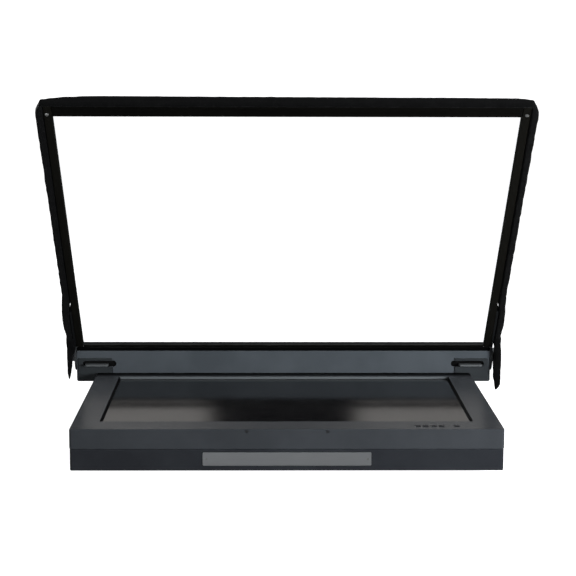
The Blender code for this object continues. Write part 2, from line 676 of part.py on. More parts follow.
def support_brackets():
    """Angle brackets that join the crossbar to the housing's rear wall."""
    y0 = Y_REAR + GAP
    y1 = y0 + BRACKET_T
    z_shelf = Z_TOP + BAR_RISE - BAR_H - GAP
    y2 = y1 + BRACKET_REACH
    outline = [(y0, BRACKET_LOW), (y1, BRACKET_LOW), (y1, z_shelf - BRACKET_T), (y2, z_shelf - BRACKET_T),
               (y2, z_shelf), (y1, z_shelf), (y1, Z_TOP - EDGE), (y0, Z_TOP - EDGE)]
    for side_name, side in SIDES.items():
        x0, x1 = mirrored(side, BRACKET_X - BRACKET_HALF, BRACKET_X + BRACKET_HALF)
        bracket = prism("support_bracket_" + side_name, outline, 0, x0, x1, BAR_PAINT)
        holes = [((side * (BRACKET_X + step), y0, BRACKET_SCREW_Z), 1, SCREW_R + GAP, 2 * BAR_GAP)
                 for step in (-BRACKET_SCREW_STEP, BRACKET_SCREW_STEP)]
        cut(bracket, tool("cut_bracket_" + side_name, rounds=holes))
    length = BAR_GAP + SHELL_STEP + WALL
    screw = [(-length, SCREW_R), (0.0, SCREW_R), (0.0, BRACKET_HEAD_R), (BRACKET_HEAD_T, BRACKET_HEAD_TOP_R)]
    for number, x in enumerate(bracket_screw_places(), 1):
        turned("bracket_screw_%d" % number, screw, STEEL, (x, y1 + GAP, BRACKET_SCREW_Z), axis=1, steps=16)


def guide_plates():
    """Plates on the crossbar's face that the lock slides run in, notched around the slot."""
    z0, z1 = [Z_TOP + z for z in SLIDE_SLOT_Z]
    radius = (z1 - z0) / 2
    low = Z_TOP - GUIDE_DROP
    high = Z_TOP + GUIDE_RISE
    notch = arc((SLIDE_SLOT_X[1] - radius, (z0 + z1) / 2), radius, -90, 90, 8)
    corner = GUIDE_CORNER
    outline = [(GUIDE_X[0], z0)] + notch + [(GUIDE_X[0], z1), (GUIDE_X[0], high)]
    outline += arc((GUIDE_X[1] - corner, high - corner), corner, 90, 0, 3)
    outline += arc((GUIDE_X[1] - corner, low + corner), corner, 0, -90, 3)
    outline += [(GUIDE_X[0], low)]
    for side_name, side in SIDES.items():
        prism("slide_guide_" + side_name, [(side * x, z) for x, z in outline], 1, Y_BAR - GAP - GUIDE_T,
              Y_BAR - GAP, BAR_PAINT)


def lock_slides():
    """Sliding bolts behind the crossbar's face, each moved by a finger tab that passes through the slot."""
    body_z = (Z_TOP + SLIDE_SLOT_Z[0] - SLIDE_BODY_LIP, Z_TOP + SLIDE_SLOT_Z[1] + SLIDE_BODY_LIP)
    body_y = (Y_BAR + BAR_T + GAP, Y_BAR + BAR_T + GAP + SLIDE_BODY_T)
    tab_z = [Z_TOP + z for z in SLIDE_TAB_Z]
    inner = BAR_HALF - BAR_END_T - GAP
    tongue_z = sum(tab_z) / 2
    for side_name, side in SIDES.items():
        x0, x1 = mirrored(side, SLIDE_SLOT_X[0] - SLIDE_BODY_LEAD, inner)
        slide = block("lock_slide_" + side_name, (x0, body_y[0], body_z[0]), (x1, body_y[1], body_z[1]),
                      PLASTIC)
        x0, x1 = mirrored(side, *SLIDE_TAB_X)
        tab = block("add_tab_" + side_name, (x0, Y_BAR - SLIDE_TAB_REACH, tab_z[0]),
                    (x1, body_y[0] + ROOT, tab_z[1]), SHEET, SLIDE_TAB_CORNER, edge=SLIDE_TAB_EDGE)
        fuse(slide, hidden(tab))
        x0, x1 = mirrored(side, inner - ROOT, BAR_HALF - GAP)
        tongue = [((x0, Y_BAR + TONGUE_Y[0], tongue_z - TONGUE_HALF),
                   (x1, Y_BAR + TONGUE_Y[1], tongue_z + TONGUE_HALF))]
        fuse(slide, tool("add_tongue_" + side_name, tongue))


def pivots():
    """Pivot bolts through the crossbar's ends, the knobs that clamp the hinges, and the stop bolts."""
    inner = BAR_HALF - BAR_END_T - GAP
    knob_x = HINGE_X + HINGE_T + GAP
    bolt = [(inner - PIVOT_HEAD_T, PIVOT_HEAD_R), (inner, PIVOT_HEAD_R), (inner, PIVOT_R),
            (knob_x + PIVOT_IN_KNOB, PIVOT_R)]
    stop = [(inner - STOP_NUT_T, STOP_HEAD_R), (inner, STOP_HEAD_R), (inner, STOP_R), (knob_x, STOP_R),
            (knob_x, STOP_HEAD_R), (knob_x + STOP_HEAD_T, STOP_HEAD_TOP_R)]
    grip = []
    for i in range(KNOB_STEPS):
        angle = 2 * pi * i / KNOB_STEPS
        radius = KNOB_R - KNOB_LOBE_H + KNOB_LOBE_H * cos(KNOB_LOBES * angle)
        grip.append((radius * cos(angle), radius * sin(angle)))
    for side_name, side in SIDES.items():
        turned("pivot_bolt_" + side_name, [(side * x, r) for x, r in bolt], STEEL, PIVOT)
        turned("stop_bolt_" + side_name, [(side * x, r) for x, r in stop], STEEL, (0.0, *stop_place()),
               steps=20)
        knob = prism("pivot_knob_" + side_name, grip, 0, side * knob_x, side * (knob_x + KNOB_T), STEEL,
                     PIVOT)
        cut(knob, tool("cut_knob_" + side_name,
                       rounds=[((side * knob_x, *PIVOT.yz), 0, PIVOT_HOLE_R, KNOB_BORE)]))


# ---------------------------------------------------------------- glass frame, folded flat about the pivot

def flat(start, end, low, high, half_low, half_high):
    """Corners of a box in the folded frame: distances along the glass, heights, and places across."""
    return (half_low, -end, low), (half_high, -start, high)


def glass_frame(axis):
    low = -FRAME_DROP
    high = FRAME_T - FRAME_DROP
    groove = (GLASS_MID - GROOVE_HALF, GLASS_MID + GROOVE_HALF)
    rail_half = OPENING_HALF - GAP
    reach = GROOVE_DEPTH
    hollow = tool("cut_frame_groove", [flat(OPENING_START - reach, OPENING_END + reach, *groove,
                                            -OPENING_HALF - reach, OPENING_HALF + reach)], parent=axis)
    screws = tool("cut_corner_screws", rounds=[
        ((side * CORNER_SCREW_X, -CORNER_SCREW_S, low), 2, CORNER_SCREW_R + GAP, CORNER_SCREW_L + GAP)
        for side in SIDES.values()], parent=axis)
    screw = [(-CORNER_HEAD_T, CORNER_HEAD_TOP_R), (-GAP, CORNER_HEAD_R), (-GAP, CORNER_SCREW_R),
             (CORNER_SCREW_L, CORNER_SCREW_R)]
    rails = (("frame_bottom_rail", FRAME_START, OPENING_START), ("frame_top_rail", OPENING_END, FRAME_END))
    for name, start, end in rails:
        rail = block(name, *flat(start, end, low, high, -rail_half, rail_half), ANODISED, edge=EDGE,
                     parent=axis)
        cut(rail, hollow)
    for side_name, side in SIDES.items():
        x0, x1 = mirrored(side, OPENING_HALF, FRAME_HALF)
        leg = block("frame_leg_" + side_name, *flat(FRAME_START, FRAME_END, low, high, x0, x1), ANODISED,
                    edge=EDGE, parent=axis)
        cut(leg, hollow)
        cut(leg, screws)
        turned("corner_screw_" + side_name, screw, STEEL, (side * CORNER_SCREW_X, -CORNER_SCREW_S, low),
               axis=2, steps=16, parent=axis)


def glass_and_gasket(axis):
    half = OPENING_HALF + GLASS_BITE
    block("beam_splitter_glass", *flat(OPENING_START - GLASS_BITE, OPENING_END + GLASS_BITE,
                                       GLASS_MID - GLASS_T / 2, GLASS_MID + GLASS_T / 2, -half, half),
          GLASS, parent=axis)
    outer = GROOVE_DEPTH - GAP
    thick = GROOVE_HALF - GAP
    gasket = block("glass_gasket", *flat(OPENING_START - outer, OPENING_END + outer, GLASS_MID - thick,
                                         GLASS_MID + thick, -OPENING_HALF - outer, OPENING_HALF + outer),
                   RUBBER, parent=axis)
    lip = GASKET_LIP
    window = flat(OPENING_START + lip, OPENING_END - lip, -FRAME_T, FRAME_T, lip - OPENING_HALF,
                  OPENING_HALF - lip)
    cut(gasket, tool("cut_gasket_window", [window], parent=axis))
    bite = GLASS_BITE + GAP
    half_t = GLASS_T / 2 + GAP
    slot = flat(OPENING_START - bite, OPENING_END + bite, GLASS_MID - half_t, GLASS_MID + half_t,
                -OPENING_HALF - bite, OPENING_HALF + bite)
    cut(gasket, tool("cut_gasket_slot", [slot], parent=axis))


def hinge_plates(axis):
    """Straps on the legs that end in a disc around the pivot, with an arc slot for the stop bolt."""
    low = -FRAME_DROP
    high = HINGE_STRAP_W - FRAME_DROP
    r = HINGE_R
    disc = arc((0.0, 0.0), r, 180.0 - degrees(asin(high / r)), -180.0 + degrees(asin(-low / r)), 24)
    corner = HINGE_CORNER
    strap = arc((-HINGE_STRAP + corner, low + corner), corner, -90, -180, 4)
    strap += arc((-HINGE_STRAP + corner, high - corner), corner, 180, 90, 4)
    slot_start = STOP_ANGLE
    slot_end = STOP_ANGLE + GLASS_ANGLE
    first = arc((0.0, 0.0), STOP_RADIUS, slot_start, slot_start, 1)[0]
    last = arc((0.0, 0.0), STOP_RADIUS, slot_end, slot_end, 1)[0]
    slot = arc((0.0, 0.0), STOP_RADIUS + STOP_SLOT_R, slot_start, slot_end, 8)
    slot += arc(last, STOP_SLOT_R, slot_end, slot_end + 180, 6)[1:-1]
    slot += arc((0.0, 0.0), STOP_RADIUS - STOP_SLOT_R, slot_end, slot_start, 8)
    slot += arc(first, STOP_SLOT_R, slot_start + 180, slot_start + 360, 6)[1:-1]
    for side_name, side in SIDES.items():
        x0, x1 = mirrored(side, HINGE_X, HINGE_X + HINGE_T)
        plate = prism("hinge_plate_" + side_name, disc + strap, 0, x0, x1, ANODISED, parent=axis)
        cut(plate, hidden(prism("cut_arc_" + side_name, slot, 0, x0 - GAP, x1 + GAP, SHEET, parent=axis)))
        bore = ((side * HINGE_X, 0.0, 0.0), 0, PIVOT_HOLE_R, 2 * HINGE_T)
        cut(plate, tool("cut_pivot_" + side_name, rounds=[bore], parent=axis))


# ---------------------------------------------------------------- hood skirt

def skirt_section(centre, across, x_mid, half_w):
    """Four corners of the cloth band: across is its width's direction in the (y, z) plane."""
    half_t = SKIRT_T / 2
    y, z = centre
    return [(x_mid + sx * half_t, y + sw * half_w * across[0], z + sw * half_w * across[1])
            for sx, sw in ((-1, -1), (1, -1), (1, 1), (-1, 1))]


def hood_skirt(axis):
    """The cloth band around the outside of the frame, as plain solids: two legs with loose ends, the top."""
    turn = radians(GLASS_ANGLE)
    along = Vector((-cos(turn), sin(turn)))
    across = Vector((sin(turn), cos(turn)))
    x_mid = HINGE_X + HINGE_T + GAP + SKIRT_T / 2
    half_w = SKIRT_W / 2
    base_point = Vector((PIVOT.y, PIVOT.z)) + across * SKIRT_MID
    bend, lean, bend_share = SKIRT_BEND
    tips = {"left": SKIRT_TAIL_LEFT, "right": SKIRT_TAIL_RIGHT}
    for side_name, side in SIDES.items():
        x_tail = side * (x_mid + SKIRT_TAIL_OUT)
        rings = [skirt_section(base_point + along * FRAME_END, across, side * x_mid, half_w),
                 skirt_section(base_point + along * SKIRT_START, across, side * x_mid, half_w),
                 skirt_section((SKIRT_TAIL_Y, Z_TOP + bend), (1.0, lean), x_tail, half_w * bend_share),
                 skirt_section((SKIRT_TAIL_Y, Z_TOP + tips[side_name]), (1.0, 0.0), x_tail,
                               half_w * SKIRT_TIP_SHARE)]
        skirt = loft("hood_skirt_" + side_name, rings, CLOTH)
        hold_on(skirt, axis)
    half_x = x_mid + SKIRT_T / 2
    start = FRAME_END + GAP
    top = block("hood_skirt_top", *flat(start, start + SKIRT_TOP_T, SKIRT_MID - half_w, SKIRT_MID + half_w,
                                        -half_x, half_x), CLOTH, parent=axis)
    soften(top, SKIRT_TOP_EDGE)


def hold_on(item, axis):
    """Parent a piece that is drawn in its raised place, and keep it there."""
    item.parent = axis
    bpy.context.view_layer.update()
    item.matrix_parent_inverse = axis.matrix_world.inverted()


# ---------------------------------------------------------------- build

def main():
    clear_scene()
    bezel_top_shell()
    front_screws()
    lower_housing()
    screen_and_backlight()
    circuit_boards()
    buttons()
    connector_plate()
    base()
    crossbar()
    light_seal()
    support_brackets()
    guide_plates()
    lock_slides()
    pivots()
    axis = bpy.data.objects.new("glass_fold_axis", None)
    bpy.context.scene.collection.objects.link(axis)
    axis.location = PIVOT
    axis.rotation_euler = (-radians(GLASS_ANGLE), 0.0, 0.0)
    glass_frame(axis)
    glass_and_gasket(axis)
    hinge_plates(axis)
    hood_skirt(axis)


main()
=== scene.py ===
"""Looks, light and camera for the studio teleprompter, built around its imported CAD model.

Frame: metres, +X to the right as the presenter sees it, +Y away from the presenter, +Z up.
"""

import json
from math import cos, pi, radians, sin

import bmesh
import bpy
from mathutils import Matrix, Vector, noise


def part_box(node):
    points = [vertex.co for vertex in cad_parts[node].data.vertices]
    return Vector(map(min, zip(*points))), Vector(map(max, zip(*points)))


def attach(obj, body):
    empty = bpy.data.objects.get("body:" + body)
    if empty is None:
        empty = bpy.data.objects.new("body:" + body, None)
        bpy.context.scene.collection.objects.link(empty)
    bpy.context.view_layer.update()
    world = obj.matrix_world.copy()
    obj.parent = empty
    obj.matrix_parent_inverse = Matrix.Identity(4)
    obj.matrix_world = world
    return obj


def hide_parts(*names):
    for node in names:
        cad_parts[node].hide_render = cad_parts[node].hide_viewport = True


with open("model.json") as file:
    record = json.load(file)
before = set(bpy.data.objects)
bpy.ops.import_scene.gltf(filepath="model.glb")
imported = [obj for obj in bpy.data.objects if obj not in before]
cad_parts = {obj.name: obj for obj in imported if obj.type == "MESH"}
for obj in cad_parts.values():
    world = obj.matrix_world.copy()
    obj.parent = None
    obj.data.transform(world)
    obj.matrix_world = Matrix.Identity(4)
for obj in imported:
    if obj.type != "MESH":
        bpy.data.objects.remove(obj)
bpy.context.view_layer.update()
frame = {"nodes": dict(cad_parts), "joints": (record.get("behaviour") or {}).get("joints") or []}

# ---------------------------------------------------------------- camera and studio

CAMERA_AT = (-0.03238, -2.53023, 0.60112)
CAMERA_PITCH = 8.120             # degrees below the horizon
CAMERA_YAW = 0.815               # degrees from +Y towards +X
CAMERA_ROLL = 0.154
CAMERA_LENS = 106.45
SENSOR = 36.0

BACKDROP_WHITE = 1.30            # the backdrop where it is seen directly or through the glass
STUDIO_REAR = (0.455, 0.438, 0.424)
STUDIO_FRONT = (0.16, 0.172, 0.185)
STUDIO_TOP = (0.05, 0.052, 0.055)
STUDIO_TURN = (-0.6, 0.6)        # from its front shade to its rear one, by a direction's Y
STUDIO_RISE = (0.27, 0.50)       # from its walls to its top, by a direction's Z
FLOOR_HALF = 15.0
FLOOR_PALE = (0.90, 0.90, 0.90)
FLOOR_DIM = (0.30, 0.30, 0.30)   # the floor's share in lighting the object
FLOOR_ROUGH = 0.9
FLOOR_DROP = 0.0002              # keeps the floor clear of the feet's undersides
SOFTBOXES = (                    # name, place, size, watts, colour
    ("key_softbox", (1.30, -1.20, 0.35), 0.50, 51.0, (0.94, 0.97, 1.0)),
    ("fill_softbox", (-1.50, -1.90, 0.60), 1.10, 8.5, (0.92, 0.96, 1.0)),
    ("rear_softbox", (-1.90, 1.90, 0.55), 1.00, 26.0, (0.96, 0.98, 1.0)),
    ("overhead_softbox", (0.0, 0.30, 2.40), 1.80, 1.5, (1.0, 0.99, 0.97)),
)
GAP_AT = 0.0115                  # a dark gap in the rear studio, by its sideways slope from the object
GAP_HALF = 0.0440                # half its width
GAP_SOFT = 0.0055                # half the width of each soft edge
GAP_TOP = (0.30, 0.26)           # the gap fades between these heights, by a direction's Z
GAP_DARK = (0.003, 0.003, 0.004)
MATT_LIGHTS = ("key_softbox",)   # kept out of every gloss, also where it shows through the glass
WHITE = (1.0, 1.0, 1.0)
AIM = (0.0, 0.0, 0.15)           # where the softboxes point

X, Y, Z = range(3)               # axes, by their place in a vector


def put(tree, socket, value):
    """Set a socket's value, or link another node's output to it."""
    if isinstance(value, bpy.types.NodeSocket):
        tree.links.new(value, socket)
    else:
        socket.default_value = value


def add_node(tree, kind, inputs=None, **settings):
    made = tree.nodes.new(kind)
    for key, value in settings.items():
        setattr(made, key, value)
    for key, value in (inputs or {}).items():
        put(tree, made.inputs[key], value)
    return made


def colour(rgb):
    return (*rgb, 1.0)


def mix_colours(tree, share, first, second):
    """A colour between two, by a share from 0 to 1. The colour sockets of a Mix node are inputs 6 and 7."""
    return add_node(tree, "ShaderNodeMix", {0: share, 6: first, 7: second}, data_type="RGBA").outputs[2]


def spread(tree, value, low, high, to_low=0.0, to_high=1.0):
    """Map a value from one range to another, clamped."""
    inputs = {"Value": value, "From Min": low, "From Max": high, "To Min": to_low, "To Max": to_high}
    return add_node(tree, "ShaderNodeMapRange", inputs).outputs[0]


def calculate(tree, operation, first, second=0.0):
    return add_node(tree, "ShaderNodeMath", {0: first, 1: second}, operation=operation).outputs[0]


def times(tree, first, second):
    """The product of two values."""
    return calculate(tree, "MULTIPLY", first, second)


def split(tree, vector):
    """The X, Y and Z outputs of a vector."""
    return add_node(tree, "ShaderNodeSeparateXYZ", {0: vector}).outputs


def make_camera():
    """The camera, turned by its yaw, then its pitch, then its roll."""
    yaw = radians(CAMERA_YAW)
    pitch = radians(CAMERA_PITCH)
    roll = radians(CAMERA_ROLL)
    forward = Vector((sin(yaw) * cos(pitch), cos(yaw) * cos(pitch), -sin(pitch)))
    level = forward.cross(Vector((0.0, 0.0, 1.0))).normalized()
    upright = level.cross(forward)
    right = level * cos(roll) + upright * sin(roll)
    up = upright * cos(roll) - level * sin(roll)
    lens = bpy.data.cameras.new("camera")
    lens.lens = CAMERA_LENS
    lens.sensor_width = SENSOR
    camera = bpy.data.objects.new("camera", lens)
    bpy.context.scene.collection.objects.link(camera)
    axes = Matrix((right, up, -forward)).transposed()
    camera.matrix_world = Matrix.Translation(CAMERA_AT) @ axes.to_4x4()
    bpy.context.scene.camera = camera


def was_reflected(tree):
    """1 for light that some surface has reflected; 0 for what is seen directly or through the glass."""
    path = add_node(tree, "ShaderNodeLightPath")
    bounces = calculate(tree, "ADD", path.outputs["Glossy Depth"], path.outputs["Diffuse Depth"])
    return calculate(tree, "GREATER_THAN", bounces, 0.5)


def make_world():
    """Plain white where it is seen directly or through the glass, and a dim studio where it is reflected."""
    world = bpy.data.worlds.new("studio")
    bpy.context.scene.world = world
    world.use_nodes = True
    tree = world.node_tree
    tree.nodes.clear()
    way = split(tree, add_node(tree, "ShaderNodeTexCoord").outputs["Generated"])
    rearward = spread(tree, way["Y"], *STUDIO_TURN)
    walls = mix_colours(tree, rearward, colour(STUDIO_FRONT), colour(STUDIO_REAR))
    upward = spread(tree, way["Z"], *STUDIO_RISE)
    lit = mix_colours(tree, upward, walls, colour(STUDIO_TOP))
    slope = calculate(tree, "DIVIDE", way["X"], way["Y"])
    aside = calculate(tree, "ABSOLUTE", calculate(tree, "SUBTRACT", slope, GAP_AT))
    gap = spread(tree, aside, GAP_HALF + GAP_SOFT, GAP_HALF - GAP_SOFT)
    behind = calculate(tree, "GREATER_THAN", way["Y"], 0.0)
    low = spread(tree, way["Z"], *GAP_TOP)
    dim = mix_colours(tree, times(tree, times(tree, gap, behind), low), lit, colour(GAP_DARK))
    white = add_node(tree, "ShaderNodeBackground", {"Color": colour(WHITE), "Strength": BACKDROP_WHITE})
    studio = add_node(tree, "ShaderNodeBackground", {"Color": dim})
    sides = {0: was_reflected(tree), 1: white.outputs[0], 2: studio.outputs[0]}
    shown = add_node(tree, "ShaderNodeMixShader", sides)
    add_node(tree, "ShaderNodeOutputWorld", {"Surface": shown.outputs[0]})


def make_lights():
    """Square softboxes, all aimed at one point."""
    for name, place, size, watts, tint in SOFTBOXES:
        light = bpy.data.lights.new(name, "AREA")
        light.shape = "SQUARE"
        light.size = size
        light.energy = watts
        light.color = tint
        lamp = bpy.data.objects.new(name, light)
        lamp.visible_glossy = name not in MATT_LIGHTS
        lamp.visible_transmission = name not in MATT_LIGHTS
        bpy.context.scene.collection.objects.link(lamp)
        lamp.location = place
        lamp.rotation_euler = (Vector(AIM) - Vector(place)).to_track_quat("-Z", "Y").to_euler()


def make_floor():
    """A plain pale floor: white where it is seen, dim where it is reflected."""
    signs = ((-1, -1), (1, -1), (1, 1), (-1, 1))
    corners = [(x * FLOOR_HALF, y * FLOOR_HALF, 0) for x, y in signs]
    mesh = bpy.data.meshes.new("floor")
    mesh.from_pydata(corners, [], [(0, 1, 2, 3)])
    floor = bpy.data.objects.new("floor", mesh)
    floor.location.z = -FLOOR_DROP
    bpy.context.scene.collection.objects.link(floor)
    finish = Finish("floor_white")
    seen = calculate(finish.tree, "SUBTRACT", 1.0, was_reflected(finish.tree))
    shade = mix_colours(finish.tree, seen, colour(FLOOR_DIM), colour(FLOOR_PALE))
    finish.set(Base_Color=shade, Roughness=FLOOR_ROUGH, Specular_IOR_Level=0.0,
               Emission_Color=colour(WHITE), Emission_Strength=seen)
    mesh.materials.append(finish.material)


# ---------------------------------------------------------------- finishes

NOISE_RANGE = (0.3, 0.7)         # where most of a noise's values lie
MOTTLE_SIZE = 0.060              # slow mottling of painted faces
MOTTLE_RANGE = (0.35, 0.65)
SPECK_SIZE = 0.0009              # pimples of a powder coat
SATIN_SIZE = 0.0040              # patches of gloss on a powder coat
BEZEL_MIX = (0.6, 0.4)           # shares of mottling and of specks in the bezel's shade
BEZEL_SATIN_SIZE = 0.030
WEAR_SIZE = 0.012                # patches along an edge where the paint is rubbed
WEAR_RANGE = (0.30, 0.65)
WEAR_REACH = 0.0012
WEAR_ANGLE = (0.995, 0.80)       # cosines between an edge's rounded and true normals
BEVEL_RAYS = 4
EDGE_ROUND = 0.0006
SKIN_ROUND = 0.0004              # less than the bezel's thin skin
LINE_SIZE = 0.0007               # lines left by extrusion
LINE_STRETCH = 60.0
LINE_DEPTH = 0.00002
LINE_ROUGH = (-0.05, 0.08)       # the lines' roughness about the metal's own
FACING_SOFT = (0.60, 0.80)       # cosines over which a face starts to count as facing some way
NEAR_BLACK = (0.0020, 0.0020, 0.0022)

OPENING_SIDE = 0.2680            # just outside the bezel's screen opening
WALL_SLOPE = (0.15, 0.25)        # the opening's sloped walls, by their normals' sideways part
SHADED = (0.168, 0.196)          # painted shade: the bezel's top is painted matt and dark towards the crossbar, where the crossbar shades it
SHADED_ROUGH = 0.95
TAB_SHADE_FROM = 0.0862               # painted shade: the finger tabs are painted black above this height, where the slot shades them
TAB_BLEND = 0.0005
BAR_BLEND = 0.0010
DISC_PALE = 0.0262               # radius of the bare disc round each pivot
DISC_BLEND = 0.0008
SCREEN_BORDER = 0.0090
WEAVE_PITCH = 0.0009
WAVE_SCALE = 20.0                # a wave texture's bands for each unit of its scale
BAR_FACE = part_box("crossbar")[0].y

fold = next(joint for joint in frame["joints"] if joint["name"] == "glass_fold")
PIVOT = Vector(fold["pos_m"])
GLASS_ANGLE = radians(fold["range_deg"][1])
ALONG = Vector((0.0, -cos(GLASS_ANGLE), sin(GLASS_ANGLE)))
ACROSS = Vector((0.0, sin(GLASS_ANGLE), cos(GLASS_ANGLE)))


class Finish:
    """One procedural material: a Principled shader and the nodes that feed it."""

    def __init__(self, name):
        self.material = bpy.data.materials.new(name)
        self.material.use_nodes = True
        self.tree = self.material.node_tree
        self.shader = self.tree.nodes["Principled BSDF"]
        self.place = add_node(self.tree, "ShaderNodeTexCoord").outputs["Object"]

    def set(self, **values):
        """Set or link the shader's sockets; Base_Color stands for Base Color."""
        for key, value in values.items():
            put(self.tree, self.shader.inputs[key.replace("_", " ")], value)

    def node(self, kind, inputs=None, **settings):
        return add_node(self.tree, kind, inputs, **settings)

    def measure(self, operation, first, second):
        """A vector calculation whose answer is a number, such as DOT_PRODUCT or DISTANCE."""
        inputs = {0: first, 1: second}
        return self.node("ShaderNodeVectorMath", inputs, operation=operation).outputs["Value"]

    def grain(self, size, detail=2.0, stretch=(1.0, 1.0, 1.0)):
        """Noise from 0 to 1 with features about size metres across, drawn out along an axis by stretch."""
        scale = Vector([1.0 / (size * s) for s in stretch])
        scaled = self.node("ShaderNodeMapping", {"Vector": self.place, "Scale": scale}).outputs[0]
        return self.node("ShaderNodeTexNoise", {"Vector": scaled, "Scale": 1.0, "Detail": detail}).outputs[0]

    def vary(self, grain, low=0.0, high=1.0):
        """A value that follows a noise from low to high."""
        return spread(self.tree, grain, *NOISE_RANGE, low, high)

    def shades(self, share, first, second):
        """A colour between two plain ones."""
        return mix_colours(self.tree, share, colour(first), colour(second))

    def relief(self, height, depth, strength=1.0, over=None):
        """A bump of depth metres, on top of another one if it is given."""
        inputs = {"Height": height, "Distance": depth, "Strength": strength}
        if over is not None:
            inputs["Normal"] = over
        return self.node("ShaderNodeBump", inputs).outputs[0]

    def rounded(self, radius):
        """The surface's normal, turned softly over its edges."""
        return self.node("ShaderNodeBevel", {"Radius": radius}, samples=BEVEL_RAYS).outputs[0]

    def mottled(self, dark, light):
        """A painted face's shade, drifting slowly from dark to light."""
        clouds = spread(self.tree, self.grain(MOTTLE_SIZE, 3.0), *MOTTLE_RANGE)
        return self.shades(clouds, dark, light)

    def worn(self, radius):
        """From 0 on flat stretches to 1 in patches along edges and corners."""
        true_normal = self.node("ShaderNodeNewGeometry").outputs["True Normal"]
        edges = spread(self.tree, self.measure("DOT_PRODUCT", self.rounded(radius), true_normal), *WEAR_ANGLE)
        return times(self.tree, edges, spread(self.tree, self.grain(WEAR_SIZE, 3.0), *WEAR_RANGE))


def powder_paint(name, dark, light, edge, roughness, texture=0.00006, gloss=0.5):
    """Fine textured powder coat: small pimples, slow mottling, and edges rubbed a little lighter."""
    finish = Finish(name)
    body = finish.mottled(dark, light)
    pimples = finish.relief(finish.grain(SPECK_SIZE), texture, over=finish.rounded(EDGE_ROUND))
    satin = finish.vary(finish.grain(SATIN_SIZE, 3.0), roughness - 0.05, roughness + 0.05)
    finish.set(Base_Color=mix_colours(finish.tree, finish.worn(WEAR_REACH), body, colour(edge)),
               Roughness=satin, Specular_IOR_Level=gloss, Normal=pimples)
    return finish.material


def bezel_paint():
    """The bezel's satin paint, with painted shade and a painted highlight: the opening's side walls and the
    top's band towards the crossbar are painted rough near-black as shade, and the opening's rear wall is
    painted lighter as a highlight.
    """
    finish = Finish("bezel_paint")
    tree = finish.tree
    clouds = times(tree, spread(tree, finish.grain(MOTTLE_SIZE, 3.0), *MOTTLE_RANGE), BEZEL_MIX[0])
    mixed = calculate(tree, "ADD", clouds, times(tree, finish.grain(SPECK_SIZE), BEZEL_MIX[1]))
    body = finish.shades(mixed, (0.030, 0.0325, 0.0360), (0.039, 0.0420, 0.0465))
    # edges painted lighter in patches: rubbed paint, and also a painted highlight along the top front edge
    painted = mix_colours(tree, finish.worn(SKIN_ROUND), body, colour((0.100, 0.108, 0.114)))
    facing = split(tree, finish.node("ShaderNodeNewGeometry").outputs["True Normal"])
    place = split(tree, finish.place)
    within = calculate(tree, "LESS_THAN", calculate(tree, "ABSOLUTE", place["X"]), OPENING_SIDE)
    # painted shade: the opening's side walls are painted near-black, as the shadow inside them
    side = times(tree, within, spread(tree, calculate(tree, "ABSOLUTE", facing["X"]), *WALL_SLOPE))
    # painted highlight: the opening's rear wall, which faces the front, is given a lighter colour below
    to_front = times(tree, within, spread(tree, facing["Y"], *(-slope for slope in WALL_SLOPE)))
    rear = times(tree, to_front, calculate(tree, "GREATER_THAN", place["Y"], 0.0))
    top = spread(tree, facing["Z"], *FACING_SOFT)
    # painted shade: matt near-black on the side walls and on the top's band towards the crossbar
    painted_shade = calculate(tree, "MAXIMUM", side, times(tree, spread(tree, place["Y"], *SHADED), top))
    with_painted_shade = mix_colours(tree, painted_shade, painted, colour(NEAR_BLACK))
    satin = finish.vary(finish.grain(BEZEL_SATIN_SIZE), 0.25, 0.27)
    # painted highlight: the lighter colour on the opening's rear wall
    finish.set(Base_Color=mix_colours(tree, rear, with_painted_shade, colour((0.095, 0.103, 0.108))),
               Roughness=calculate(tree, "MAXIMUM", satin, times(tree, painted_shade, SHADED_ROUGH)),
               Specular_IOR_Level=0.10)
    return finish.material


def slide_finish():
    """The lock slides, with painted shade: black behind the crossbar's face and on the tab's upper part,
    where the slot lies in shadow, and satin grey on the lit part of the tab in front of it.
    """
    finish = Finish("lock_slide")
    tree = finish.tree
    place = split(tree, finish.place)
    # painted shade: near-black behind the crossbar's face and high on the tab; grey only on the lit part of
    # the tab
    proud = spread(tree, place["Y"], BAR_FACE + BAR_BLEND, BAR_FACE)
    tab = times(tree, proud, spread(tree, place["Z"], TAB_SHADE_FROM + TAB_BLEND, TAB_SHADE_FROM))
    skin = finish.grain(0.0006)
    finish.set(Base_Color=finish.shades(tab, (0.0025, 0.0025, 0.0025), (0.085, 0.090, 0.092)),
               Roughness=finish.vary(skin, 0.42, 0.52), Specular_IOR_Level=0.20,
               Normal=finish.relief(skin, 0.00003))
    return finish.material


def anodised(name, shade, roughness, axis, gloss=0.12):
    """Black anodised aluminium with fine extrusion lines along one axis."""
    finish = Finish(name)
    lines = finish.grain(LINE_SIZE, 2.0, [LINE_STRETCH if i == axis else 1.0 for i in range(3)])
    clouds = finish.vary(finish.grain(0.045))
    finish.set(Base_Color=finish.shades(clouds, shade, [c * 1.35 for c in shade]), Specular_IOR_Level=gloss,
               Roughness=finish.vary(lines, *(roughness + more for more in LINE_ROUGH)),
               Normal=finish.relief(lines, LINE_DEPTH))
    return finish.material


def anodised_lit_faces(name, facing, dark, light, roughness):
    """Anodised aluminium whose faces along one direction of the piece are painted paler in patches: painted
    light on the faces that look towards the light.
    """
    finish = Finish(name)
    tree = finish.tree
    normal = finish.node("ShaderNodeTexCoord").outputs["Normal"]
    match = spread(tree, finish.measure("DOT_PRODUCT", normal, facing), *FACING_SOFT)
    painted_light = times(tree, match, spread(tree, finish.grain(0.03), 0.1, 0.5))
    lines = finish.grain(LINE_SIZE, 2.0, (LINE_STRETCH, 1.0, 1.0))
    finish.set(Base_Color=finish.shades(painted_light, dark, light), Specular_IOR_Level=0.08,
               Roughness=finish.vary(lines, *(roughness + more for more in LINE_ROUGH)),
               Normal=finish.relief(lines, LINE_DEPTH))
    return finish.material


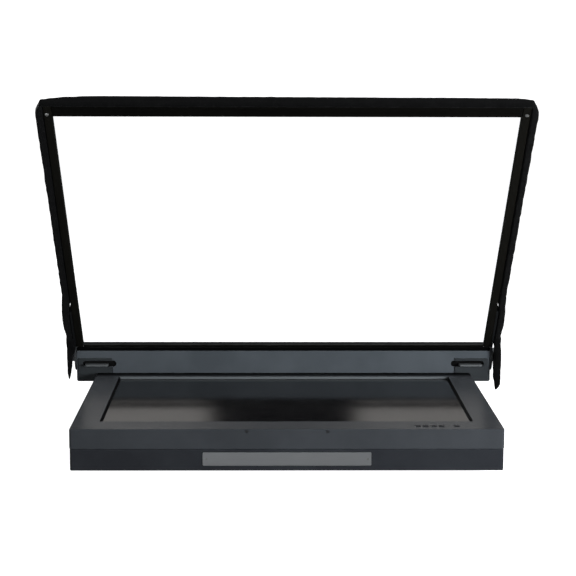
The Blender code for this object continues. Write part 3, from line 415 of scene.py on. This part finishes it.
def hinge_finish():
    """The hinge straps: black anodised, turned down to paler metal on the disc round the pivot."""
    finish = Finish("anodised_hinge")
    tree = finish.tree
    place = split(tree, finish.place)
    flat = finish.node("ShaderNodeCombineXYZ", {0: 0.0, 1: place["Y"], 2: place["Z"]}).outputs[0]
    disc = spread(tree, finish.measure("DISTANCE", flat, PIVOT), DISC_PALE + DISC_BLEND, DISC_PALE)
    lines = finish.grain(LINE_SIZE, 2.0, (1.0, 1.0, 40.0))
    black = finish.shades(lines, (0.0055, 0.0058, 0.0063), (0.0080, 0.0085, 0.0090))
    finish.set(Base_Color=mix_colours(tree, disc, black, colour((0.042, 0.044, 0.046))),
               Specular_IOR_Level=0.15, Roughness=finish.vary(lines, 0.40, 0.52),
               Normal=finish.relief(lines, LINE_DEPTH))
    return finish.material


def bright_metal(name, shade, roughness, mottled=0.10):
    """Zinc plated or bare steel with fine turning marks and slight spangle."""
    finish = Finish(name)
    patches = finish.node("ShaderNodeTexVoronoi", {"Vector": finish.place, "Scale": 160.0}).outputs["Color"]
    spangle = finish.node("ShaderNodeRGBToBW", {0: patches}).outputs[0]
    scratches = finish.grain(0.0006, 2.0, (1.0, 8.0, 1.0))
    finish.set(Base_Color=finish.shades(spangle, [c * (1.0 - mottled) for c in shade], shade), Metallic=1.0,
               Roughness=finish.vary(scratches, roughness - 0.06, roughness + 0.08),
               Normal=finish.relief(scratches, 0.000015))
    return finish.material


def moulded(name, shade, roughness, pimple=0.0006, depth=0.00003, gloss=0.5):
    """Moulded plastic, rubber or foam: one shade with a fine skin."""
    finish = Finish(name)
    skin = finish.grain(pimple)
    clouds = finish.vary(finish.grain(0.02))
    finish.set(Base_Color=finish.shades(clouds, shade, [c * 1.25 for c in shade]),
               Roughness=finish.vary(skin, roughness - 0.04, roughness + 0.04),
               Specular_IOR_Level=gloss, Normal=finish.relief(skin, depth))
    return finish.material


def screen_surface():
    """The panel's anti-glare front: near black, with the picture area a shade lighter than its border."""
    finish = Finish("screen_surface")
    tree = finish.tree
    low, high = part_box("lcd_panel")
    inputs = {0: finish.place, 1: (low + high) / 2}
    axes = split(tree, finish.node("ShaderNodeVectorMath", inputs, operation="SUBTRACT").outputs[0])
    half_x, half_y = ((b - a) / 2 - SCREEN_BORDER for a, b in ((low.x, high.x), (low.y, high.y)))
    within_x = calculate(tree, "LESS_THAN", calculate(tree, "ABSOLUTE", axes["X"]), half_x)
    within_y = calculate(tree, "LESS_THAN", calculate(tree, "ABSOLUTE", axes["Y"]), half_y)
    shade = finish.shades(times(tree, within_x, within_y), (0.0010, 0.0010, 0.0011), NEAR_BLACK)
    haze = finish.relief(finish.grain(0.0003, 1.0), 0.000004)
    finish.set(Base_Color=shade, IOR=1.40, Normal=haze, Roughness=finish.vary(finish.grain(0.05), 0.09, 0.11))
    return finish.material


def board_surface():
    """Green solder mask divided into cells by lighter copper lines."""
    finish = Finish("board_surface")
    cells = finish.node("ShaderNodeTexBrick", {
        "Vector": finish.place, "Scale": 120.0, "Mortar Size": 0.012, "Color1": colour((0.012, 0.10, 0.035)),
        "Color2": colour((0.010, 0.075, 0.028)), "Mortar": colour((0.030, 0.18, 0.070))})
    finish.set(Base_Color=cells.outputs["Color"], Roughness=finish.vary(finish.grain(0.004), 0.35, 0.5))
    return finish.material


def clear_glass():
    """Beam-splitter glass: clear, with its mirror coat showing as gloss."""
    finish = Finish("beam_splitter_glass")
    finish.set(Base_Color=colour((0.985, 0.992, 0.990)), Roughness=0.0, IOR=1.45, Transmission_Weight=1.0)
    return finish.material


def woven_cloth():
    """Black woven hood cloth: a fine plain weave, a little sheen, and dusty folds."""
    finish = Finish("hood_cloth")
    tree = finish.tree
    scale = 1.0 / (WEAVE_PITCH * WAVE_SCALE)
    inputs = {"Vector": finish.place, "Scale": scale, "Distortion": 0.6, "Detail": 1.0}
    across, along, up = (finish.node("ShaderNodeTexWave", inputs, bands_direction=axis).outputs["Fac"]
                         for axis in ("X", "Y", "Z"))
    weave = calculate(tree, "ADD", calculate(tree, "ADD", across, along), up)
    dust = spread(tree, finish.grain(0.015, 3.0), 0.35, 0.7)
    finish.set(Base_Color=finish.shades(dust, (0.0018, 0.0018, 0.0019), (0.0032, 0.0032, 0.0033)),
               Roughness=0.92, Sheen_Weight=0.03, Sheen_Roughness=0.5, Specular_IOR_Level=0.12,
               Normal=finish.relief(weave, 0.00012, 0.6))
    return finish.material


def brushed_plate():
    """Satin aluminium brushed along its length."""
    finish = Finish("brushed_plate")
    strokes = finish.grain(0.00025, 2.0, (90.0, 1.0, 1.0))
    finish.set(Base_Color=finish.shades(strokes, (0.52, 0.53, 0.54), (0.70, 0.71, 0.72)), Metallic=1.0,
               Roughness=finish.vary(strokes, 0.34, 0.48), Normal=finish.relief(strokes, 0.00001))
    return finish.material


def cad_finishes():
    """A finish for every CAD node, by the start of the node's name."""
    bar = powder_paint("bar_paint", (0.050, 0.057, 0.064), (0.062, 0.070, 0.078), (0.120, 0.130, 0.138), 0.40,
                       texture=0.00004, gloss=0.30)
    steel = bright_metal("zinc_steel", (0.60, 0.60, 0.58), 0.34)
    sheet = bright_metal("sheet_steel", (0.52, 0.53, 0.54), 0.42, 0.22)
    plastic = moulded("black_plastic", (0.013, 0.013, 0.014), 0.48, gloss=0.30)
    rubber = moulded("rubber", (0.012, 0.012, 0.012), 0.80, 0.0009, 0.00006)
    board = board_surface()
    return {
        "bezel_top_shell": bezel_paint(),
        "lower_housing": powder_paint("tray_paint", (0.0150, 0.0160, 0.0190), (0.0190, 0.0208, 0.0240),
                                      (0.060, 0.065, 0.070), 0.50, gloss=0.20),
        "crossbar": bar,
        "support_bracket": bar,
        "slide_guide": powder_paint("guide_paint", (0.020, 0.022, 0.024), (0.026, 0.029, 0.031),
                                    (0.070, 0.078, 0.084), 0.42, gloss=0.20),
        "lock_slide": slide_finish(),
        "hinge_plate": hinge_finish(),
        "pivot_knob": anodised("anodised_knob", (0.130, 0.134, 0.140), 0.35, X, 0.30),
        # painted light: the bottom rail's faces that look up along the glass are painted paler, as lit from
        # above
        "frame_bottom_rail": anodised_lit_faces("anodised_low_rail", ALONG, (0.0016, 0.0015, 0.0012),
                                   (0.042, 0.042, 0.040), 0.50),
        "frame_top_rail": anodised("anodised_across", (0.0016, 0.0015, 0.0012), 0.50, X, 0.08),
        "frame_leg": anodised("anodised_upright", (0.0030, 0.0028, 0.0021), 0.50, Z),
        "dovetail_shoe": anodised("anodised_shoe", (0.0060, 0.0060, 0.0060), 0.38, Y),
        "corner_screw": steel, "bracket_screw": steel, "shoe_screw": steel,
        "pivot_bolt": steel, "stop_bolt": steel,
        "hdmi_socket": steel, "vga_socket": steel, "bnc_socket": steel, "dc_jack": plastic,
        "connector_plate": sheet, "mount_plate": sheet, "panel_chassis": sheet,
        "front_screw": plastic, "menu_button": plastic, "power_button": plastic,
        "rubber_foot": rubber, "glass_gasket": rubber,
        "light_seal_strip": moulded("black_foam", (0.0012, 0.0012, 0.0012), 0.95, 0.0012, 0.0004, 0.08),
        "backlight_unit": moulded("diffuser", (0.70, 0.70, 0.68), 0.50),
        "lcd_panel": screen_surface(),
        "controller_board": board, "power_board": board, "button_board": board,
        "beam_splitter_glass": clear_glass(),
        "hood_skirt": plastic,   # plain solids, which the cloth replaces
    }


def dress_cad():
    finishes = cad_finishes()
    for name, item in frame["nodes"].items():
        item.data.materials[0] = next(finishes[start] for start in finishes if name.startswith(start))
    frame["nodes"]["beam_splitter_glass"].visible_shadow = False


# ---------------------------------------------------------------- hood skirt

SIDES = (("left", -1), ("right", 1))

SKIRT_STEP = 0.0045              # distance between sections along the band
SKIRT_AROUND = 24                # strips around a section
SKIRT_OPEN = radians(158)        # the fold is open on the side that faces the frame
SKIRT_CLOTH = 0.0008
SKIRT_SQUARE = 3.2               # how square a section's corners are
LEG_OUTER = 0.3500               # outline of the bunched cloth on the frame's sides
LEG_INNER = 0.3388
HINGE_INNER = 0.3420             # over the hinge plates
HINGE_END = 0.130
LEG_BULGE = {"left": 0.0052, "right": 0.0038}
BULGE_AT = 0.092
BULGE_REACH = 0.045
CORNER_CLOTH = 0.0052            # cloth pulled tight over the frame's corners
CORNER_REACH = 0.0220
TOP_CLOTH = 0.0034
SKIRT_FRONT = -0.0068            # front edge of the band, measured square to the glass
SKIRT_REAR = 0.0136
TOP_REAR = ((-0.3380, 0.0060), (-0.3267, 0.0082), (-0.3070, 0.0106), (-0.2740, 0.0124), (-0.0500, 0.0114),
            (0.2200, 0.0104), (0.3165, 0.0096), (0.3290, 0.0084), (0.3380, 0.0064))
TAIL_TOP = 0.0500                # along the glass, where the loose ends leave the frame
TAILS = {                        # height, inner and outer place across, half width of the loose ends
    "left": (
        (0.0620, 0.3488, 0.3502, 0.0030), (0.0720, 0.3466, 0.3516, 0.0060),
        (0.0820, 0.3450, 0.3519, 0.0078), (0.1000, 0.3440, 0.3522, 0.0088),
        (0.1080, 0.3396, 0.3526, 0.0078), (0.1240, 0.3394, 0.3530, 0.0078)),
    "right": (
        (0.0445, 0.3462, 0.3480, 0.0030), (0.0520, 0.3448, 0.3534, 0.0058),
        (0.0660, 0.3426, 0.3537, 0.0078), (0.0900, 0.3424, 0.3548, 0.0088),
        (0.1080, 0.3438, 0.3549, 0.0094), (0.1220, 0.3420, 0.3532, 0.0100)),
}
TAIL_Y = 0.2045
TAIL_LEAN_FROM = 0.095           # above this height the loose ends turn to follow the glass
TAIL_SLANT = 0.15
TAIL_SWAY = 0.0016
TAIL_WAVES = 70.0                # radians of sway for each metre of height
BELL_BASE = 2.718                # base of the bell curve that the bulge follows
HINGE_BLEND = (-0.008, 0.012)    # the inner edge moves over this stretch round the hinge plate's end
CORNER_BLEND = 0.040             # the rear edge narrows over this last stretch of the leg
CORNER_STEPS = 8
CLOTH_OFF = 0.0006               # gap between the cloth's inner side and the frame's outer face
SLACK_DEPTH = 0.010              # a section this deep hangs fully slack
GATHER = (0.0009, 0.21, Vector((0.0, 0.3, 5.0)))     # height, step for each section, place in the noise
CREASE = (0.0007, 0.55, 1.1, 9.0)                    # height, step for each section, for each radian, place
CREASE_TIGHT = 0.25              # share of the creases that is left where the cloth is tight

LEG_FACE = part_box("frame_leg_right")[1].x
FRAME_END = max((v.co - PIVOT).dot(ALONG) for v in frame["nodes"]["frame_leg_left"].data.vertices)


def frame_point(x, along, across):
    """A place on the raised frame: across the object, up along the glass, and square to the glass."""
    return Vector((x, 0.0, 0.0)) + PIVOT + ALONG * along + ACROSS * across


def follow(table, at):
    """Read a row of values from a table at a place between its rows, easing from row to row."""
    if at <= table[0][0]:
        return table[0][1:]
    for low, high in zip(table, table[1:]):
        if at <= high[0]:
            share = (at - low[0]) / (high[0] - low[0])
            share = share * share * (3.0 - 2.0 * share)
            return [a + (b - a) * share for a, b in zip(low[1:], high[1:])]
    return table[-1][1:]


def ease(value, low, high):
    """From 0 to 1 between two values, with a soft start and end."""
    share = min(1.0, max(0.0, (value - low) / (high - low)))
    return share * share * (3.0 - 2.0 * share)


def leg_outline(side_name, along):
    """Inner and outer place of the cloth across the frame, at a distance along the glass."""
    clear = ease(along, HINGE_END + HINGE_BLEND[0], HINGE_END + HINGE_BLEND[1])
    inner = HINGE_INNER + (LEG_INNER - HINGE_INNER) * clear
    bulge = LEG_BULGE[side_name] * BELL_BASE ** -(((along - BULGE_AT) / BULGE_REACH) ** 2)
    tight = min(1.0, max(0.0, (along - FRAME_END) / CORNER_REACH + 1.0)) ** 2
    outer = LEG_OUTER + bulge
    return inner, outer + (LEG_FACE + CORNER_CLOTH - outer) * tight


def tail_sections(side_name, side):
    """The loose end below the frame, from its tip up to the frame."""
    outward = Vector((side, 0.0, 0.0))
    top = frame_point(0.0, TAIL_TOP, (SKIRT_FRONT + SKIRT_REAR) / 2)
    table = TAILS[side_name]
    count = round((top.z - table[0][0]) / SKIRT_STEP)
    for i in range(count):
        z = table[0][0] + (top.z - table[0][0]) * i / count
        inner, outer, half = follow(table, z)
        lean = ease(z, TAIL_LEAN_FROM, top.z)
        across = Vector((0.0, 1.0, TAIL_SLANT)).lerp(ACROSS, lean).normalized()
        sway = TAIL_SWAY * sin(TAIL_WAVES * z + side)
        centre = Vector((0.0, TAIL_Y + (top.y - TAIL_Y) * lean + sway, z))
        yield centre, outward, across, -half, half, inner, outer


def leg_sections(side_name, side):
    """The band along one side of the frame, from the loose end up to the corner."""
    outward = Vector((side, 0.0, 0.0))
    count = round((FRAME_END - TAIL_TOP) / SKIRT_STEP)
    for i in range(count + 1):
        along = TAIL_TOP + (FRAME_END - TAIL_TOP) * i / count
        inner, outer = leg_outline(side_name, along)
        narrowed = ease(along, FRAME_END - CORNER_BLEND, FRAME_END)
        rear = SKIRT_REAR + (TOP_REAR[0][1] - SKIRT_REAR) * narrowed
        yield frame_point(0.0, along, 0.0), outward, ACROSS, SKIRT_FRONT, rear, inner, outer


def corner_sections(side):
    """The turn round the frame's corner, from the leg to the top."""
    centre = frame_point(side * LEG_FACE, FRAME_END, 0.0)
    rear = follow(TOP_REAR, side * LEG_FACE)[0]
    for i in range(1, CORNER_STEPS):
        turn = pi / 2 * i / CORNER_STEPS
        outward = Vector((side * cos(turn), 0.0, 0.0)) + ALONG * sin(turn)
        cloth = CORNER_CLOTH + (TOP_CLOTH - CORNER_CLOTH) * i / CORNER_STEPS
        yield centre, outward, ACROSS, SKIRT_FRONT, rear, CLOTH_OFF, cloth


def top_sections():
    """The band along the frame's top, from left to right."""
    count = round(2 * LEG_FACE / SKIRT_STEP)
    for i in range(count + 1):
        x = -LEG_FACE + 2 * LEG_FACE * i / count
        rear = follow(TOP_REAR, x)[0]
        yield frame_point(x, FRAME_END, 0.0), ALONG, ACROSS, SKIRT_FRONT, rear, CLOTH_OFF, TOP_CLOTH


def skirt_sections():
    """Sections of the whole band, from the left tip over the top to the right tip."""
    left, right = ([*tail_sections(name, side), *leg_sections(name, side), *corner_sections(side)]
                   for name, side in SIDES)
    return [*left, *top_sections(), *reversed(right)]


def skirt_point(section, number, angle):
    """A point of the cloth: a squarish fold around the section's middle, with gathers and creases."""
    centre, outward, across, front, rear, inner, outer = section
    gather_height, gather_rate, gather_place = GATHER
    gather = noise.noise(gather_place + Vector((number * gather_rate, 0.0, 0.0)))
    crease_height, crease_rate, crease_turn, crease_place = CREASE
    crease = noise.noise(Vector((number * crease_rate, angle * crease_turn, crease_place)))
    slack = min(1.0, (outer - inner) / SLACK_DEPTH)
    outer += slack * gather_height * gather
    half_depth = (outer - inner) / 2
    half_width = (rear - front) / 2
    cosine, sine = cos(angle), sin(angle)
    reach = (abs(cosine) ** SKIRT_SQUARE + abs(sine) ** SKIRT_SQUARE) ** (-1.0 / SKIRT_SQUARE)
    ripple = (CREASE_TIGHT + (1.0 - CREASE_TIGHT) * slack) * crease_height * crease
    out = (inner + outer) / 2 + (half_depth * reach + ripple) * cosine
    back = (front + rear) / 2 + (half_width * reach + ripple) * sine
    return centre + outward * out + across * back


def make_skirt():
    """The hood's edge band: a folded strip of cloth round the outside of the glass frame, with loose ends."""
    angles = [SKIRT_OPEN * (2.0 * k / SKIRT_AROUND - 1.0) for k in range(SKIRT_AROUND + 1)]
    rows = [[skirt_point(section, i, a) for a in angles] for i, section in enumerate(skirt_sections())]
    wide = len(angles)
    faces = [(i * wide + k, i * wide + k + 1, (i + 1) * wide + k + 1, (i + 1) * wide + k)
             for i in range(len(rows) - 1) for k in range(SKIRT_AROUND)]
    mesh = bpy.data.meshes.new("hood_skirt")
    mesh.from_pydata([point for row in rows for point in row], [], faces)
    mesh.shade_smooth()
    mesh.materials.append(woven_cloth())
    skirt = bpy.data.objects.new("hood_skirt", mesh)
    bpy.context.scene.collection.objects.link(skirt)
    thicken = skirt.modifiers.new("cloth", "SOLIDIFY")
    thicken.thickness = SKIRT_CLOTH
    thicken.offset = 0.0
    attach(skirt, "glass")
    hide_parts("hood_skirt_left", "hood_skirt_top", "hood_skirt_right")


# ---------------------------------------------------------------- small details

SINK = 0.0001                    # how far a fixed detail is let into what carries it
CORNER_SEGMENTS = 5
EDGE_SEGMENTS = 2
TURNED_SIDES = 24
RIVET_SIDES = 16
PIN_SIDES = 12
CONTACT_SIDES = 10
FINE_EDGE = 0.0001

PLATE_LOW = (-0.1180, 0.0185)    # blank nameplate on the front, across and up
PLATE_HIGH = (0.1180, 0.0375)
PLATE_PROUD = 0.0008
PLATE_CORNER = 0.0016
PLATE_EDGE = 0.0002
RIVET_AT = 0.1130
RIVET_R = 0.0016
RIVET_H = 0.0005
RIVET_DOME = ((0.5, 0.9), (1.0, 0.5))                # shares of its height and radius

VGA_ROWS = 3
VGA_COLUMNS = 5
VGA_RISE = 0.0023                # from row to row
VGA_PITCH = VGA_RISE * 1.6       # from column to column
VGA_SHIFT = VGA_RISE / 2         # of the middle row
VGA_CONTACT = ((0.0, 0.0006), (0.0003, 0.0006), (0.0004, 0.0004))
VGA_MARGIN = (0.0020, 0.0012)    # metal left round the black insert, across and up
VGA_PROUD = 0.0002
VGA_CORNER = 0.0020
HDMI_HALF = (0.0055, 0.0007)     # half width and half height of the tongue
HDMI_DEEP = (0.0100, 0.0015)     # the tongue's rear and front ends, inside the mouth
HDMI_CORNER = 0.0003
BNC_INSERT = ((-SINK, 0.0030), (0.0002, 0.0030), (0.0003, 0.0026))
BNC_CONTACT = ((0.0, 0.0010), (0.0005, 0.0010), (0.0007, 0.0006))
BNC_LUG_R = 0.0009
BNC_LUG_SPAN = (-0.0010, 0.0009)                     # about the widest part of the socket
BNC_LUG_BACK = 0.0030            # from the socket's mouth
DC_PIN = ((-0.0098, 0.0010), (-0.0022, 0.0010), (-0.0015, 0.0006))

CAP_DISH = ((-SINK, 0.0052), (0.0005, 0.0050), (0.0007, 0.0044), (0.0003, 0.0034), (0.0002, 0.0010))

# a dark strip by each slide guide's inner edge: painted shadow for the gap there
SHADOW_LINE_W = 0.0007
SHADOW_LINE_OFF = 0.0003                # gap between the painted shadow line and its guide
SHADOW_LINE_PROUD = 0.0006
SHADOW_LINE_UP = 0.0010                 # above the guide's underside
SHADOW_LINE_TOP = 0.0022                # above the slide's underside, so that the tab passes over it
SHADOW_LINE_CORNER = 0.0002


def plate(name, low, high, corner, edge, axis, material, body):
    """A flat piece with round corners seen along one axis, and softened edges."""
    low, high = Vector(low), Vector(high)
    bm = bmesh.new()
    bmesh.ops.create_cube(bm, size=1.0)
    for vert in bm.verts:
        vert.co = Vector(l + (h - l) * (c + 0.5) for l, h, c in zip(low, high, vert.co))
    upright = [e for e in bm.edges if abs((e.verts[0].co - e.verts[1].co).normalized()[axis]) > 0.9]
    bmesh.ops.bevel(bm, geom=upright, offset=corner, segments=CORNER_SEGMENTS, affect="EDGES", profile=0.5)
    rims = [e for e in bm.edges if abs((e.verts[0].co - e.verts[1].co).normalized()[axis]) < 0.1]
    bmesh.ops.bevel(bm, geom=rims, offset=edge, segments=EDGE_SEGMENTS, affect="EDGES", profile=0.5)
    from_bmesh(name, bm, material, body)


def from_bmesh(name, bm, material, body):
    bmesh.ops.recalc_face_normals(bm, faces=bm.faces)
    mesh = bpy.data.meshes.new(name)
    bm.to_mesh(mesh)
    bm.free()
    mesh.materials.append(material)
    item = bpy.data.objects.new(name, mesh)
    bpy.context.scene.collection.objects.link(item)
    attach(item, body)


def add_round(bm, profile, place, axis, steps=TURNED_SIDES):
    """A turned shape in a mesh: (distance along the axis, radius) pairs, closed at both ends."""
    first, second, forward = (Vector([1.0 if i == (axis + turn) % 3 else 0.0 for i in range(3)])
                              for turn in (1, 2, 0))
    angles = [2.0 * pi * i / steps for i in range(steps)]
    ways = [first * cos(a) + second * sin(a) for a in angles]
    rings = [[bm.verts.new(Vector(place) + forward * along + way * radius) for way in ways]
             for along, radius in profile]
    for a, b in zip(rings, rings[1:]):
        for i in range(steps):
            bm.faces.new((a[i], a[(i + 1) % steps], b[(i + 1) % steps], b[i]))
    bm.faces.new(rings[0][::-1])
    bm.faces.new(rings[-1])


def turned(name, profile, place, axis, material, body, steps=TURNED_SIDES):
    bm = bmesh.new()
    add_round(bm, profile, place, axis, steps)
    from_bmesh(name, bm, material, body)


def front_plate():
    """A blank nameplate on the housing's front, held by two rivets."""
    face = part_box("lower_housing")[0].y
    low = (PLATE_LOW[0], face - PLATE_PROUD, PLATE_LOW[1])
    high = (PLATE_HIGH[0], face + SINK, PLATE_HIGH[1])
    plate("front_blank_plate", low, high, PLATE_CORNER, PLATE_EDGE, Y, brushed_plate(), "base")
    steel = bright_metal("rivet_steel", (0.55, 0.55, 0.54), 0.36)
    height = (PLATE_LOW[1] + PLATE_HIGH[1]) / 2
    dome = [(SINK, RIVET_R)] + [(-RIVET_H * h, RIVET_R * r) for h, r in RIVET_DOME]
    for side_name, side in SIDES:
        place = (side * RIVET_AT, face - PLATE_PROUD, height)
        turned("plate_rivet_" + side_name, dome, place, Y, steel, "base", RIVET_SIDES)


def vga_details(black, brass):
    """The socket's black insert with its three rows of contacts, the middle one shifted."""
    low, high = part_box("vga_socket")
    middle = (low + high) / 2
    across, up = VGA_MARGIN
    plate("vga_insert", (low.x + across, high.y - SINK, low.z + up),
          (high.x - across, high.y + VGA_PROUD, high.z - up), VGA_CORNER, FINE_EDGE, Y, black, "base")
    bm = bmesh.new()
    for row in range(VGA_ROWS):
        shift = VGA_SHIFT if row == 1 else 0.0
        for column in range(VGA_COLUMNS):
            x = middle.x + (column - VGA_COLUMNS // 2) * VGA_PITCH + shift
            z = middle.z + (row - VGA_ROWS // 2) * VGA_RISE
            add_round(bm, VGA_CONTACT, (x, high.y + SINK, z), Y, CONTACT_SIDES)
    from_bmesh("vga_contacts", bm, brass, "base")


def hdmi_details(black):
    """The tongue inside the socket's mouth."""
    low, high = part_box("hdmi_socket")
    middle = (low + high) / 2
    half_w, half_h = HDMI_HALF
    rear, front = HDMI_DEEP
    plate("hdmi_tongue", (middle.x - half_w, high.y - rear, middle.z - half_h),
          (middle.x + half_w, high.y - front, middle.z + half_h), HDMI_CORNER, FINE_EDGE, Z, black, "base")


def bnc_details(number, white, brass):
    """A socket's insulator and contact, and its two bayonet lugs."""
    low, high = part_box("bnc_socket_%d" % number)
    middle = (low + high) / 2
    end = (middle.x, high.y, middle.z)
    turned("bnc_insert_%d" % number, BNC_INSERT, end, Y, white, "base")
    turned("bnc_contact_%d" % number, BNC_CONTACT, end, Y, brass, "base", PIN_SIDES)
    widest = (high.z - low.z) / 2
    bm = bmesh.new()
    for side in (-1, 1):
        lug = [(side * (widest + past), BNC_LUG_R) for past in BNC_LUG_SPAN]
        add_round(bm, lug, (middle.x, high.y - BNC_LUG_BACK, middle.z), Z, PIN_SIDES)
    from_bmesh("bnc_lugs_%d" % number, bm, brass, "base")


def socket_details():
    black = moulded("socket_black", (0.010, 0.010, 0.010), 0.45)
    white = moulded("socket_white", (0.62, 0.61, 0.58), 0.40)
    brass = bright_metal("contact_brass", (0.72, 0.55, 0.26), 0.30)
    vga_details(black, brass)
    hdmi_details(black)
    for number in (1, 2):
        bnc_details(number, white, brass)
    low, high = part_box("dc_jack")
    middle = (low + high) / 2
    turned("dc_pin", DC_PIN, (middle.x, high.y, middle.z), Y, brass, "base", PIN_SIDES)


def knob_caps():
    """A dished centre let into each pivot knob's face."""
    steel = anodised("anodised_cap", (0.060, 0.062, 0.066), 0.30, X, 0.40)
    for side_name, side in SIDES:
        knob = "pivot_knob_" + side_name
        low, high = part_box(knob)
        middle = (low + high) / 2
        face = (high.x if side > 0 else low.x, middle.y, middle.z)
        dish = [(side * along, radius) for along, radius in CAP_DISH]
        turned("knob_cap_" + side_name, dish, face, X, steel, knob)


def guide_shadow_lines():
    """A dark strip down the inner edge of each slide guide, below its slot: a painted shadow standing for the
    gap there.
    """
    black = moulded("shadow_line_black", (0.003, 0.003, 0.003), 0.80, gloss=0.1)
    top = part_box("lock_slide_left")[0].z + SHADOW_LINE_TOP
    for side_name, side in SIDES:
        low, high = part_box("slide_guide_" + side_name)
        edge = low.x if side > 0 else high.x
        left, right = sorted((edge - side * SHADOW_LINE_OFF, edge - side * (SHADOW_LINE_OFF + SHADOW_LINE_W)))
        plate("guide_shadow_line_" + side_name, (left, BAR_FACE - SHADOW_LINE_PROUD, low.z + SHADOW_LINE_UP),
              (right, BAR_FACE + SINK, top), SHADOW_LINE_CORNER, FINE_EDGE, Y, black, "base")


# ---------------------------------------------------------------- build

bpy.context.scene.view_settings.view_transform = "Standard"
make_camera()
make_world()
make_lights()
make_floor()
dress_cad()
make_skirt()
front_plate()
socket_details()
knob_caps()
guide_shadow_lines()
